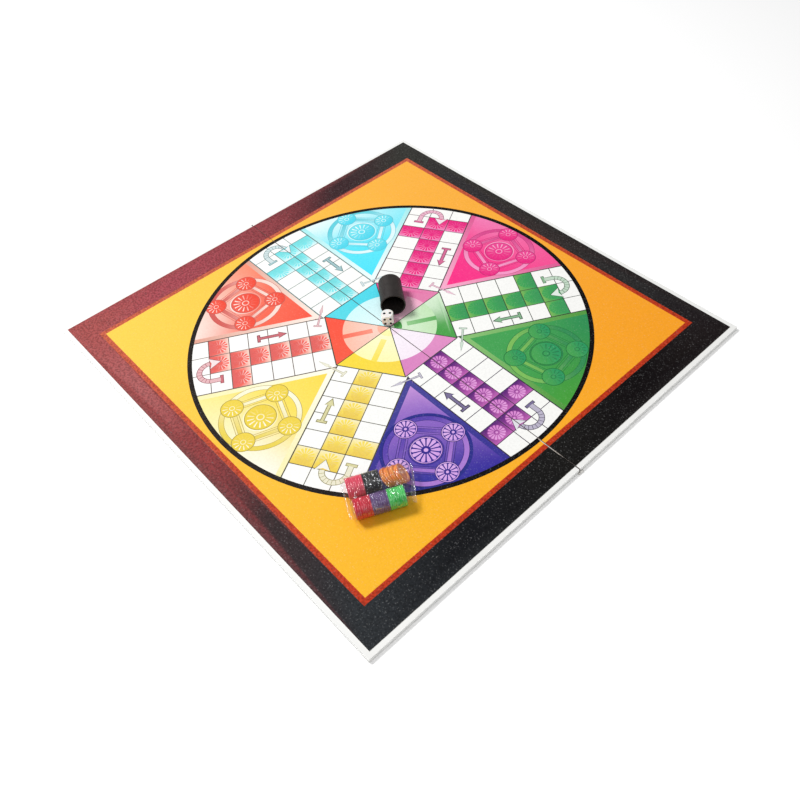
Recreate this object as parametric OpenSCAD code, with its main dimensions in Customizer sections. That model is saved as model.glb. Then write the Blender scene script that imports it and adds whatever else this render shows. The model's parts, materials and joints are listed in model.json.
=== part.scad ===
// Folding ludo board with its kit: a two-leaf printed board that folds back to back
// on a cloth hinge tape, a dice cup lying on its side, one die and a film bag that
// holds two rows of playing tokens in six colours.
// Millimetres. X runs along the fold, the rear leaf lies at +Y and the front leaf
// at -Y, and the undersides of both leaves lie on Z = 0.

/* [Board] */
// Board length along the fold
board_length = 500; // [420:1:600]
// Board width across the fold, both leaves together
board_width = 480; // [400:1:600]
// Thickness of each leaf's core board
core_thickness = 3.5; // [2:0.1:6]
// Gap between the two leaves along the fold
fold_gap = 0.6; // [0.4:0.1:2]
// Plan radius of the leaf corners
corner_radius = 1.2; // [0.6:0.1:4]
// Radius of the wrapped top edges
edge_radius = 0.6; // [0.2:0.1:0.9]

/* [Paper] */
// Thickness of the wrap, the liner and the hinge tape
paper_thickness = 0.3; // [0.2:0.05:0.5]
// Thickness of the laminated printed sheet
print_thickness = 0.3; // [0.2:0.05:0.5]
// White margin left between the printed sheet and the board edge
print_margin = 5.2; // [2:0.1:20]
// Width of the wrap's turn-in under the board
turn_in = 16; // [8:1:30]
// Width of the seams between the papers on the underside
seam = 0.3; // [0.2:0.1:1]

/* [Hinge tape] */
// Width of the hinge tape across the fold
tape_width = 32; // [16:1:50]
// Split between the two halves of the hinge tape at the fold
tape_split = 0.2; // [0.1:0.1:0.4]
// Radius of the tape's round end tabs
tab_radius = 3; // [2:0.5:6]
// How far the tape's ends stick out past the board
tab_reach = 2.5; // [1:0.1:3]

/* [Dice cup] */
// Outer diameter of the cup's rim
cup_rim_d = 26; // [20:0.5:40]
// Outer diameter of the cup's base
cup_base_d = 24.4; // [16:0.2:36]
// Length of the cup
cup_length = 36.5; // [24:0.5:60]
// Wall of the cup
cup_wall = 1.2; // [0.8:0.1:2]
// Floor of the cup
cup_floor = 2; // [1.4:0.1:4]
// Depth of the recess under the cup's base
cup_foot_recess = 0.6; // [0.2:0.1:1]
// Width of the beaded rim
cup_rim_w = 2.2; // [1.4:0.1:4]
// Distance of the rim's bead from the cup's wall
cup_rim_step = 0.45; // [0.2:0.05:1]
// Radius round the cup's base
cup_base_round = 1.4; // [0.6:0.1:2]
// Width of the ring that the cup stands on, outside the recess
cup_foot_w = 2.6; // [2:0.1:4]
// Direction in which the cup's mouth looks, from +X
cup_turn = -35; // [-180:1:180]
// Mouth of the cup, X place
cup_x = -12.3; // [-60:0.1:60]
// Mouth of the cup, Y place
cup_y = 15.8; // [12:0.1:120]

/* [Die] */
// Edge of the die
die_edge = 12; // [8:0.5:14]
// Diameter of the ball that rounds the die's corners
die_ball = 16.6; // [12:0.2:20]
// Turn of the die about +Z
die_turn = 50; // [0:1:90]
// Diameter of a pip
pip_d = 2.3; // [1:0.1:3]
// Depth of a pip
pip_depth = 0.5; // [0.2:0.1:0.8]
// Distance of the outer pips from the face's centre line
pip_pitch = 2.9; // [1.5:0.1:3.4]
// Centre of the die, X place
die_x = -9.1; // [-60:0.1:60]
// Centre of the die, Y place
die_y = 4.6; // [1:0.1:60]

/* [Tokens] */
// Diameter of a token
token_d = 18.5; // [12:0.5:24]
// Thickness of a token
token_t = 3.6; // [2.4:0.1:6]
// Radius of the dish in each face of a token
token_dish_r = 6.2; // [3:0.1:8]
// Depth of the dish in each face of a token
token_dish = 0.5; // [0.2:0.1:0.9]
// Radius of the raised button in the middle of a token
token_button_r = 2.4; // [1:0.1:3]
// Depth of the groove round a token's edge
token_groove = 0.55; // [0.2:0.05:1]
// Width of the groove round a token's edge
token_groove_w = 1.1; // [0.6:0.1:2]
// Width of the slopes at the dish's inner and outer sides
token_slope = 0.5; // [0.2:0.1:0.8]
// Depth of the middle button below the token's rims
token_button_drop = 0.15; // [0.05:0.05:0.4]
// Chamfer of a token's rims
token_chamfer = 0.35; // [0.1:0.05:0.6]
// Play between neighbouring tokens in a row
token_play = 0.05; // [0.02:0.01:0.2]
// Lean of the tokens that have tipped over at the end of the rear row
token_lean = 32; // [20:1:40]

/* [Token bag] */
// Thickness of the bag's film
film = 0.3; // [0.2:0.05:0.6]
// Distance between the two rows of tokens in the bag
row_pitch = 22.5; // [20:0.5:30]
// How far the rear row starts before the front row
row_shift = 1.4; // [0:0.1:4]
// Play between the tokens and the film
bag_play = 0.15; // [0.1:0.05:0.5]
// Length of the sealed fins at the bag's ends
fin_length = 5; // [2:0.5:12]
// How far the fins stop short of the bag's sides
fin_inset = 1.5; // [0.5:0.5:4]
// Direction of the rows, from +X
bag_turn = 64; // [0:1:90]
// Distance of the bag's reference corner from the board's right end
bag_from_end = 103; // [60:1:200]
// Distance of the bag's reference corner from the board's front side
bag_from_front = 73; // [40:1:200]

/* [Fits] */
// Clearance under the loose pieces that lie on the board
rest_gap = 0.1; // [0.05:0.05:0.3]

/* [Hidden] */
$fn = 64;
cut = 1;
TOKENS_PER_COLOUR = 4;

// Heights of the layers, from the underside up
core_z0 = paper_thickness;
core_z1 = core_z0 + core_thickness;
wrap_z1 = core_z1 + paper_thickness;
board_z = wrap_z1 + print_thickness;

// Plan of the rear leaf: the fold side, the outer side and half its length
leaf_y0 = fold_gap / 2;
leaf_y1 = board_width / 2;
half_length = board_length / 2;
inner_radius = max(corner_radius - paper_thickness, 0.1);
tape_y1 = tape_width / 2;

// Loose pieces stand on this height
seat_z = board_z + rest_gap;

// Cup: radii, and the tilt that lays its wall level on the board
cup_rim_r = cup_rim_d / 2;
cup_base_r = cup_base_d / 2;
cup_neck_r = cup_rim_r - cup_rim_step;
cup_tilt = atan((cup_rim_r - cup_base_r) / (cup_length - cup_base_round));

// Pip: the ball that cuts it
pip_ball_r = (pip_d * pip_d / 4 + pip_depth * pip_depth) / (2 * pip_depth);

// Tokens and bag, in the bag's own frame: X along the rows, Y to the rear row
token_r = token_d / 2;
token_pitch = token_t + token_play;
stack_length = TOKENS_PER_COLOUR * token_pitch;
bag_z0 = seat_z + film;
row_z = bag_z0 + bag_play + token_r;
rear_x0 = -row_shift;
lean_z = bag_z0 + bag_play + token_r * cos(token_lean) + token_t / 2 * sin(token_lean);
lean_reach = token_r * sin(token_lean) + token_t / 2 * cos(token_lean);
lean_pitch = token_pitch / cos(token_lean);
lean_x0 = rear_x0 + 2 * stack_length + token_play + lean_reach;
bag_x0 = rear_x0 - bag_play;
bag_x1 = max(lean_x0 + (TOKENS_PER_COLOUR - 1) * lean_pitch + lean_reach,
             3 * stack_length) + bag_play;
bag_tube_r = token_r + bag_play;

// Places of the loose pieces on the board
bag_x = half_length - bag_from_end;
bag_y = -board_width / 2 + bag_from_front;

// Sides of the die, each with its pips and the turn that brings it to the front
DIE_SIDES = [
  [4, [0, 0, 0]], [1, [0, 0, 90]], [3, [0, 0, 180]], [6, [0, 0, 270]],
  [2, [-90, 0, 0]], [5, [90, 0, 0]]
];

function pips(count) =
  count == 1 ? [[0, 0]] :
  count == 2 ? [[-1, 0], [1, 0]] :
  count == 3 ? [[-1, -1], [0, 0], [1, 1]] :
  count == 4 ? [[-1, -1], [-1, 1], [1, -1], [1, 1]] :
  count == 5 ? [[-1, -1], [-1, 1], [0, 0], [1, -1], [1, 1]] :
  [[-1, -1], [-1, 0], [-1, 1], [1, -1], [1, 0], [1, 1]];

function arc(cx, cy, r, a0, a1, steps) =
  [for (i = [0:steps]) let (a = a0 + (a1 - a0) * i / steps) [cx + r * cos(a), cy + r * sin(a)]];

// Plan shapes

module rounded_rect(x0, x1, y0, y1, r) {
  translate([x0 + r, y0]) square([x1 - x0 - 2 * r, y1 - y0]);
  translate([x0, y0 + r]) square([x1 - x0, y1 - y0 - 2 * r]);
  for (x = [x0 + r, x1 - r], y = [y0 + r, y1 - r])
    translate([x, y]) circle(r);
}

// Upright section with round top corners
module crowned_section(a0, a1, z1, r) {
  translate([a0, 0]) square([a1 - a0, z1 - r]);
  translate([a0 + r, 0]) square([a1 - a0 - 2 * r, z1]);
  for (a = [a0 + r, a1 - r])
    translate([a, z1 - r]) circle(r);
}

// The leaf's wrapped outline: round corners in plan and round top edges
module wrapped_slab() {
  intersection() {
    linear_extrude(wrap_z1)
      rounded_rect(-half_length, half_length, leaf_y0, leaf_y1, corner_radius);
    translate([-half_length - cut, 0, 0])
      rotate([90, 0, 90])
        linear_extrude(board_length + 2 * cut)
          crowned_section(leaf_y0, leaf_y1, wrap_z1, edge_radius);
    translate([0, leaf_y1 + cut, 0])
      rotate([90, 0, 0])
        linear_extrude(leaf_y1 - leaf_y0 + 2 * cut)
          crowned_section(-half_length, half_length, wrap_z1, edge_radius);
  }
}

// Board pieces, drawn as the rear leaf

// The room inside the wrap, which the core board fills
module core_room() {
  translate([0, 0, core_z0])
    linear_extrude(core_thickness)
      rounded_rect(-half_length + paper_thickness, half_length - paper_thickness,
                   leaf_y0 + paper_thickness, leaf_y1 - paper_thickness, inner_radius);
}

module core_board() {
  color("tan") core_room();
}

// Diagonal seam where two turn-ins meet at an outer corner
module mitre_seam(side) {
  translate([side * half_length, leaf_y1, -cut])
    rotate([0, 0, side > 0 ? 225 : -45])
      translate([corner_radius, -seam / 2, 0])
        cube([turn_in * 2, seam, cut + paper_thickness]);
}

module wrap() {
  color("white")
    difference() {
      wrapped_slab();
      core_room();
      translate([-half_length + turn_in, leaf_y0 - cut, -cut])
        cube([board_length - 2 * turn_in, leaf_y1 - turn_in - leaf_y0 + cut,
              cut + paper_thickness]);
      translate([-half_length - cut, leaf_y0 - cut, -cut])
        cube([board_length + 2 * cut, tape_y1 - leaf_y0 + cut + seam, cut + paper_thickness]);
      for (side = [-1, 1])
        mitre_seam(side);
    }
}

module back_liner() {
  color("gainsboro")
    translate([-half_length + turn_in + seam, tape_y1 + seam, 0])
      cube([board_length - 2 * (turn_in + seam),
            leaf_y1 - turn_in - tape_y1 - 2 * seam, paper_thickness]);
}

module print_sheet() {
  color("orangered")
    translate([-half_length + print_margin, leaf_y0, wrap_z1])
      cube([board_length - 2 * print_margin, leaf_y1 - leaf_y0 - print_margin,
            print_thickness]);
}

// Half of the cloth tape, with half of the round tab at each end
module hinge_tape() {
  color("silver")
    intersection() {
      linear_extrude(paper_thickness) {
        translate([-half_length, 0])
          square([board_length, tape_y1]);
        for (side = [-1, 1])
          translate([side * (half_length + tab_reach - tab_radius), 0])
            circle(tab_radius);
      }
      translate([-board_length, tape_split / 2, 0])
        cube([2 * board_length, tape_y1 - tape_split / 2, paper_thickness]);
    }
}

// The front leaf is the rear leaf seen in a mirror
module front() {
  mirror([0, 1, 0]) children();
}

// Dice cup

// Half section of the cup, standing on its base with its mouth up
function cup_section() =
  let (
    rim_z = cup_length - cup_rim_w,
    bead = cup_rim_step / 2,
    inner_top = cup_neck_r - cup_wall + bead,
    inner_base = cup_base_r - cup_wall,
    corner = cup_base_round / 2,
    recess_r = cup_base_r - cup_foot_w
  )
  concat(
    [[0, cup_foot_recess], [recess_r - cup_foot_recess, cup_foot_recess], [recess_r, 0]],
    arc(cup_base_r - cup_base_round, cup_base_round, cup_base_round, -90, 0, 6),
    [[cup_neck_r, rim_z - cup_rim_step]],
    [[cup_rim_r, rim_z]],
    arc(cup_rim_r - bead, cup_length - bead, bead, 0, 90, 3),
    [[inner_top + bead, cup_length], [inner_top, cup_length - bead]],
    arc(inner_base - corner, cup_floor + corner, corner, 0, -90, 4),
    [[0, cup_floor]]
  );

module dice_cup() {
  color("dimgray")
    translate([cup_x, cup_y, seat_z + cup_rim_r])
      rotate([0, 0, cup_turn])
        rotate([0, 90 - cup_tilt, 0])
          translate([0, 0, -cup_length])
            rotate_extrude()
              polygon(cup_section());
}

// Die

module pip_cuts(count) {
  for (p = pips(count))
    translate([p[0] * pip_pitch, -die_edge / 2 + pip_depth - pip_ball_r, p[1] * pip_pitch])
      sphere(pip_ball_r);
}

module die() {
  color("ivory")
    translate([die_x, die_y, seat_z + die_edge / 2])
      rotate([0, 0, die_turn])
        difference() {
          intersection() {
            cube(die_edge, center = true);
            sphere(d = die_ball);
          }
          for (side = DIE_SIDES)
            rotate(side[1])
              pip_cuts(side[0]);
        }
}

// Tokens

// Half section of a token, centred on its thickness
function token_half() =
  let (h = token_t / 2)
  [
    [token_button_r, -h + token_button_drop],
    [token_button_r + token_slope, -h + token_dish],
    [token_dish_r, -h + token_dish],
    [token_dish_r + token_slope, -h],
    [token_r - token_chamfer, -h],
    [token_r, -h + token_chamfer],
    [token_r, -token_groove_w / 2]
  ];

module token_body() {
  half = token_half();
  last = len(half) - 1;
  rotate_extrude()
    polygon(concat(
      [[0, half[0][1]]],
      half,
      [[token_r - token_groove, 0]],
      [for (i = [0:last]) [half[last - i][0], -half[last - i][1]]],
      [[0, -half[0][1]]]
    ));
}

module in_bag() {
  translate([bag_x, bag_y, 0])
    rotate([0, 0, bag_turn])
      children();
}

// Token number 1 to 4 of an upright stack that starts at x0 in the row at y
module stacked_token(tint, x0, y, number) {
  color(tint)
    in_bag()
      translate([x0 + (number - 0.5) * token_pitch, y, row_z])
        rotate([0, 90, 0])
          token_body();
}

// Token number 1 to 4 of the stack that has tipped over against its neighbour
module leaning_token(tint, number) {
  color(tint)
    in_bag()
      translate([lean_x0 + (number - 1) * lean_pitch, row_pitch, lean_z])
        rotate([0, 90 - token_lean, 0])
          token_body();
}

module red_token(number) { stacked_token("crimson", 0, 0, number); }
module purple_token(number) { stacked_token("indigo", stack_length, 0, number); }
module green_token(number) { stacked_token("limegreen", 2 * stack_length, 0, number); }
module pink_token(number) { stacked_token("hotpink", rear_x0, row_pitch, number); }
module black_token(number) { stacked_token("black", rear_x0 + stack_length, row_pitch, number); }
module orange_token(number) { leaning_token("orange", number); }

// Token bag

// Section across the rows: two round ends with flat film above and below
module bag_section(r) {
  for (y = [0, row_pitch])
    translate([0, y]) circle(r);
  translate([-r, 0]) square([2 * r, row_pitch]);
}

module bag_tube(r, x0, x1) {
  translate([x0, 0, row_z])
    rotate([0, 90, 0])
      linear_extrude(x1 - x0)
        bag_section(r);
}

// Flat sealed fin that closes one end of the bag
module bag_fin(x0) {
  translate([x0, -bag_tube_r + fin_inset, row_z - film])
    cube([fin_length, row_pitch + 2 * (bag_tube_r - fin_inset), 2 * film]);
}

module token_bag() {
  color("lightcyan", 0.4)
    in_bag()
      difference() {
        union() {
          bag_tube(bag_tube_r + film, bag_x0 - film, bag_x1 + film);
          bag_fin(bag_x0 - film - fin_length);
          bag_fin(bag_x1 + film);
        }
        bag_tube(bag_tube_r, bag_x0, bag_x1);
      }
}

core_board();  // rear_core_board
wrap();  // rear_wrap
back_liner();  // rear_back_liner
print_sheet();  // rear_print_sheet
hinge_tape();  // rear_hinge_tape
front() core_board();  // front_core_board
front() wrap();  // front_wrap
front() back_liner();  // front_back_liner
front() print_sheet();  // front_print_sheet
front() hinge_tape();  // front_hinge_tape
dice_cup();
die();
token_bag();
red_token(1);  // red_token_1
red_token(2);  // red_token_2
red_token(3);  // red_token_3
red_token(4);  // red_token_4
purple_token(1);  // purple_token_1
purple_token(2);  // purple_token_2
purple_token(3);  // purple_token_3
purple_token(4);  // purple_token_4
green_token(1);  // green_token_1
green_token(2);  // green_token_2
green_token(3);  // green_token_3
green_token(4);  // green_token_4
pink_token(1);  // pink_token_1
pink_token(2);  // pink_token_2
pink_token(3);  // pink_token_3
pink_token(4);  // pink_token_4
black_token(1);  // black_token_1
black_token(2);  // black_token_2
black_token(3);  // black_token_3
black_token(4);  // black_token_4
orange_token(1);  // orange_token_1
orange_token(2);  // orange_token_2
orange_token(3);  // orange_token_3
orange_token(4);  // orange_token_4
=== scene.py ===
"""Folding ludo board with its kit: printed face, papers, hinge tape, cup, die and token pack.

Lengths are in millimetres inside the classes and become metres where a mesh is made.
The board lies in the frame's own axes: X along the fold, Y across it, Z up.
"""

import json
import logging
import math
from collections.abc import Iterable, Sequence
from dataclasses import dataclass, field
from enum import Enum

import bpy
from mathutils import Matrix, Quaternion, Vector, noise
from mathutils.geometry import delaunay_2d_cdt

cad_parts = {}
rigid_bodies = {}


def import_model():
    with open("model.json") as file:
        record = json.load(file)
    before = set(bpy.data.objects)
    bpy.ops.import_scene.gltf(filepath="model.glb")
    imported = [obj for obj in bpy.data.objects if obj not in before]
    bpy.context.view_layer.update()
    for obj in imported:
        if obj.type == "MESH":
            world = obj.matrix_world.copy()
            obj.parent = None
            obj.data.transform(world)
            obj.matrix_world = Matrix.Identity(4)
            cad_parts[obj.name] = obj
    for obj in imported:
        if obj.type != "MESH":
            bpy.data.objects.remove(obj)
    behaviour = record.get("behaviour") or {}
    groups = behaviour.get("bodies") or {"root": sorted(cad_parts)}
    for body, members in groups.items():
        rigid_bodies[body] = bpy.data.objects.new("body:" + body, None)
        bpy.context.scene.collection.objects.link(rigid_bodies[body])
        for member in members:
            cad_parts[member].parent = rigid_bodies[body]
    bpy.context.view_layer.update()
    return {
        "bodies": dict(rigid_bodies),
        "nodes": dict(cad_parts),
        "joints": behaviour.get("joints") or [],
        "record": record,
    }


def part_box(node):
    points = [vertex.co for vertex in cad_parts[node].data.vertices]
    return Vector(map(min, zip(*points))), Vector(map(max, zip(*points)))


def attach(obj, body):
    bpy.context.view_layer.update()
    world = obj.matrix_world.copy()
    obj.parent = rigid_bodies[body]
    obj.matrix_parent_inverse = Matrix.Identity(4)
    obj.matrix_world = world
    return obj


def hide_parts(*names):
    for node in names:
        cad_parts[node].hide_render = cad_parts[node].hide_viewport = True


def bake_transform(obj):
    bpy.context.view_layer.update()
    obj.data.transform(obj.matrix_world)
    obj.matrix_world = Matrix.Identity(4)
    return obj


log = logging.getLogger("ludo_board")

MM = 0.001
Point = tuple[float, float]
Span = tuple[float, float]
Colour = tuple[float, float, float]
Socket = bpy.types.NodeSocket


def linear(ink: str) -> Colour:
    """Turns a hex screen colour into linear light.

    Args:
        ink: Six hex digits, such as "f2a830".

    Returns:
        Red, green and blue from 0 to 1.
    """
    screen = [int(ink[i : i + 2], 16) / 255 for i in (0, 2, 4)]
    return tuple(c / 12.92 if c <= 0.04045 else ((c + 0.055) / 1.055) ** 2.4 for c in screen)


def clamp(value: float) -> float:
    """Holds a share between 0 and 1."""
    return min(max(value, 0.0), 1.0)


def ease(value: float) -> float:
    """Smooths a share from 0 to 1 so that it starts and ends level."""
    t = clamp(value)
    return t * t * (3 - 2 * t)


def mixed(a: Colour, b: Colour, share: float) -> Colour:
    """Blends two linear colours.

    Args:
        a: The colour at share 0.
        b: The colour at share 1.
        share: How much of b is in the blend.

    Returns:
        The blended colour.
    """
    return tuple(p + (q - p) * share for p, q in zip(a, b))


def tinted(a: str, b: str, share: float) -> str:
    """Blends two hex screen colours.

    Args:
        a: The ink at share 0.
        b: The ink at share 1.
        share: How much of b is in the blend.

    Returns:
        The blended ink as six hex digits.
    """
    pairs = ((int(a[i : i + 2], 16), int(b[i : i + 2], 16)) for i in (0, 2, 4))
    return "".join(f"{round(p + (q - p) * share):02x}" for p, q in pairs)


def new_piece(name: str, verts: Sequence, faces: Sequence, material: bpy.types.Material) -> bpy.types.Object:
    """Makes a mesh object at the origin and puts it in the scene.

    Args:
        name: The piece's name.
        verts: Its points in metres.
        faces: Its faces as lists of point numbers.
        material: The finish for its first slot.

    Returns:
        The new object.
    """
    mesh = bpy.data.meshes.new(name)
    mesh.from_pydata([tuple(v) for v in verts], [], [tuple(f) for f in faces])
    mesh.materials.append(material)
    piece = bpy.data.objects.new(name, mesh)
    bpy.context.scene.collection.objects.link(piece)
    return piece


def rumple(x: float, y: float, z: float) -> float:
    """Gives smooth noise at a place, from about -1 to 1."""
    return noise.noise(Vector((x, y, z)))


def smooth(piece: bpy.types.Object) -> None:
    """Shades every face of a piece smooth."""
    piece.data.polygons.foreach_set("use_smooth", [True] * len(piece.data.polygons))


class Bench:
    """A material's node tree, with short calls for the nodes that the finishes share."""

    def __init__(self, name: str) -> None:
        """Makes the material with an empty tree.

        Args:
            name: The material's name.
        """
        self.material = bpy.data.materials.new(name)
        self.material.use_nodes = True
        self.tree = self.material.node_tree
        self.tree.nodes.clear()
        self.output = self.node("ShaderNodeOutputMaterial")
        self.shader = self.node("ShaderNodeBsdfPrincipled")
        self.join(self.shader.outputs["BSDF"], self.output.inputs["Surface"])
        self.place = self.node("ShaderNodeTexCoord").outputs["Object"]

    def node(self, kind: str, **settings: object) -> bpy.types.Node:
        """Adds a node.

        Args:
            kind: The node's type name.
            **settings: Attributes of the node, such as operation.

        Returns:
            The new node.
        """
        made = self.tree.nodes.new(kind)
        for key, value in settings.items():
            setattr(made, key, value)
        return made

    def join(self, source: Socket, target: Socket) -> None:
        """Links an output to an input."""
        self.tree.links.new(source, target)

    def set(self, **values: object) -> None:
        """Sets or links the shader's sockets.

        Args:
            **values: Socket names with underscores for blanks, each with a number, a colour or
                an output socket.
        """
        for key, value in values.items():
            socket = self.shader.inputs[key.replace("_", " ")]
            if isinstance(value, Socket):
                self.join(value, socket)
            elif isinstance(value, tuple) and len(value) == 3:
                socket.default_value = (*value, 1.0)
            else:
                socket.default_value = value

    def noise(self, per_mm: float, detail: float = 3.0, stretch: tuple = (1, 1, 1)) -> Socket:
        """Adds a noise on the object's coordinates.

        Args:
            per_mm: Spots to a millimetre.
            detail: Octaves of finer noise.
            stretch: Scale of each axis.

        Returns:
            The noise value's socket.
        """
        mapping = self.node("ShaderNodeMapping")
        mapping.inputs["Scale"].default_value = stretch
        self.join(self.place, mapping.inputs["Vector"])
        made = self.node("ShaderNodeTexNoise")
        made.inputs["Scale"].default_value = per_mm / MM
        made.inputs["Detail"].default_value = detail
        self.join(mapping.outputs["Vector"], made.inputs["Vector"])
        return made.outputs["Fac"]

    def cells(self, per_mm: float) -> Socket:
        """Adds the rounded cells of an embossed grain.

        Args:
            per_mm: Cells to a millimetre.

        Returns:
            The distance socket.
        """
        made = self.node("ShaderNodeTexVoronoi", feature="SMOOTH_F1")
        made.inputs["Scale"].default_value = per_mm / MM
        made.inputs["Smoothness"].default_value = 0.6
        self.join(self.place, made.inputs["Vector"])
        return made.outputs["Distance"]

    def spread(self, value: Socket, low: Span, high: Span) -> Socket:
        """Maps a value from one range to another and holds it there.

        Args:
            value: The value to map.
            low: The value's lower end and what it becomes.
            high: The value's upper end and what it becomes.

        Returns:
            The mapped value's socket.
        """
        made = self.node("ShaderNodeMapRange")
        for socket, number in zip(("From Min", "To Min", "From Max", "To Max"), (*low, *high)):
            made.inputs[socket].default_value = number
        self.join(value, made.inputs["Value"])
        return made.outputs["Result"]

    def math(self, operation: str, a: Socket, b: object = 0.0) -> Socket:
        """Adds a math node.

        Args:
            operation: What the node does, such as MULTIPLY.
            a: The first value.
            b: The second value, a socket or a number.

        Returns:
            The result's socket.
        """
        made = self.node("ShaderNodeMath", operation=operation)
        self.join(a, made.inputs[0])
        if isinstance(b, Socket):
            self.join(b, made.inputs[1])
        else:
            made.inputs[1].default_value = b
        return made.outputs["Value"]

    def mix(self, share: Socket, a: object, b: object, blend: str = "MIX") -> Socket:
        """Mixes two colours.

        Args:
            share: How much of b shows.
            a: The first colour, a socket or linear colour.
            b: The second colour, a socket or linear colour.
            blend: The way of mixing.

        Returns:
            The mixed colour's socket.
        """
        made = self.node("ShaderNodeMix", data_type="RGBA", blend_type=blend)
        self.join(share, made.inputs["Factor"])
        for socket, colour in ((made.inputs[6], a), (made.inputs[7], b)):
            if isinstance(colour, Socket):
                self.join(colour, socket)
            else:
                socket.default_value = (*colour, 1.0)
        return made.outputs[2]

    def bump(self, height: Socket, depth_mm: float, strength: float = 1.0) -> None:
        """Drives the shader's normal from a height.

        Args:
            height: The height from 0 to 1.
            depth_mm: What a height of 1 is in millimetres.
            strength: Share of the effect.
        """
        made = self.node("ShaderNodeBump")
        made.inputs["Distance"].default_value = depth_mm * MM
        made.inputs["Strength"].default_value = strength
        self.join(height, made.inputs["Height"])
        self.join(made.outputs["Normal"], self.shader.inputs["Normal"])


@dataclass(frozen=True)
class PaperFinish:
    """Paper or board with fibres and soft stains, and painted shade along the fold, where it lies in the
    shadowed gap between the leaves.
    """

    name: str
    ink: str
    stain: str
    fibre_depth: float = 0.02
    roughness: float = 0.62
    stain_share: float = 0.5
    fold_gap_shade: float = 0.0
    # colour of the painted shade in the fold gap
    soil_and_shade: str = "5a4a44"
    gap_shade_reach: Span = (0.45, 0.75)

    def build(self) -> bpy.types.Material:
        """Makes the material."""
        bench = Bench(self.name)
        blotch = bench.spread(bench.noise(0.02, 4), (0.45, 0.0), (0.8, self.stain_share))
        fibre = bench.noise(2.2, 5, (1, 0.35, 1))
        speck = bench.spread(fibre, (0.35, 0.0), (0.7, 0.18))
        ground = bench.mix(blotch, linear(self.ink), linear(self.stain))
        # painted shade: the paper darkens close to the fold, where the gap between the leaves lies in shadow
        if self.fold_gap_shade:
            split = bench.node("ShaderNodeSeparateXYZ")
            bench.join(bench.place, split.inputs["Vector"])
            from_fold = bench.math("ABSOLUTE", split.outputs["Y"])
            near, far = self.gap_shade_reach
            soil_and_shade = bench.spread(from_fold, (near * MM, self.fold_gap_shade), (far * MM, 0.0))
            ground = bench.mix(soil_and_shade, ground, linear(self.soil_and_shade))
        bench.set(
            Base_Color=bench.mix(speck, ground, linear(self.stain)),
            Roughness=bench.spread(fibre, (0.3, self.roughness), (0.7, self.roughness + 0.15)),
            Specular_IOR_Level=0.3,
        )
        bench.bump(fibre, self.fibre_depth)
        return bench.material


@dataclass(frozen=True)
class PrintFinish:
    """Laminated print: the artwork's ink under a film whose leather grain shows most on the border, with
    sparse painted glints of the film screened over the ink.
    """

    name: str
    grain_per_mm: float = 0.62
    grain_depth: float = 0.08
    # share of the painted glints: light specks that stand for the laminate's sparkle
    painted_glint: float = 0.09
    pitting: float = 0.42
    pitting_inside: float = 0.12
    border_start: Span = (208.0, 211.0)
    roughness: float = 0.42
    specular: float = 0.08

    def build(self) -> bpy.types.Material:
        """Makes the material."""
        bench = Bench(self.name)
        ink = bench.node("ShaderNodeAttribute", attribute_name="ink").outputs["Color"]
        mottle = bench.spread(bench.noise(0.35, 4), (0.3, 0.0), (0.75, 0.04))
        grain = bench.cells(self.grain_per_mm)
        split = bench.node("ShaderNodeSeparateXYZ")
        bench.join(bench.place, split.inputs["Vector"])
        out_x, out_y = (bench.math("ABSOLUTE", split.outputs[axis]) for axis in "XY")
        out = bench.math("MAXIMUM", out_x, out_y)
        start, full = self.border_start
        border = bench.spread(out, (start * MM, self.pitting_inside), (full * MM, 1.0))
        leather = bench.spread(bench.noise(0.5, 3), (0.42, 0.0), (0.62, self.pitting))
        pits = bench.math("MULTIPLY", leather, border)
        worn = bench.mix(mottle, ink, linear("ffffff"), "SOFT_LIGHT")
        # painted glints: sparse light specks screened over the ink
        painted_glint = bench.spread(bench.noise(0.75, 2), (0.6, 0.0), (0.74, self.painted_glint))
        pitted = bench.mix(pits, worn, linear("101010"), "MULTIPLY")
        handled = bench.noise(0.08, 3)
        bench.set(
            Base_Color=bench.mix(painted_glint, pitted, linear("ffffff"), "SCREEN"),
            Roughness=bench.spread(handled, (0.3, self.roughness - 0.05), (0.7, self.roughness + 0.08)),
            Specular_IOR_Level=self.specular,
        )
        bench.bump(bench.math("ADD", grain, bench.noise(2.5, 2)), self.grain_depth, 0.5)
        return bench.material


@dataclass(frozen=True)
class ClothFinish:
    """Woven cloth tape."""

    name: str
    ink: str
    shade: str
    threads_per_mm: float = 1.6
    wave_unit: float = 3.14

    def build(self) -> bpy.types.Material:
        """Makes the material."""
        bench = Bench(self.name)
        weave = []
        for direction in ("X", "Y"):
            wave = bench.node("ShaderNodeTexWave", bands_direction=direction)
            wave.inputs["Scale"].default_value = self.threads_per_mm / MM / self.wave_unit
            wave.inputs["Distortion"].default_value = 0.6
            bench.join(bench.place, wave.inputs["Vector"])
            weave.append(wave.outputs["Fac"])
        cross = bench.math("MULTIPLY", weave[0], weave[1])
        soil_and_shade = bench.spread(bench.noise(0.05, 4), (0.4, 0.0), (0.8, 0.6))
        ground = bench.mix(soil_and_shade, linear(self.ink), linear(self.shade))
        bench.set(
            Base_Color=bench.mix(bench.spread(cross, (0.0, 0.3), (0.6, 0.0)), ground, linear(self.shade)),
            Roughness=0.85,
            Specular_IOR_Level=0.2,
            Sheen_Weight=0.2,
        )
        bench.bump(cross, 0.06)
        return bench.material


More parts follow.
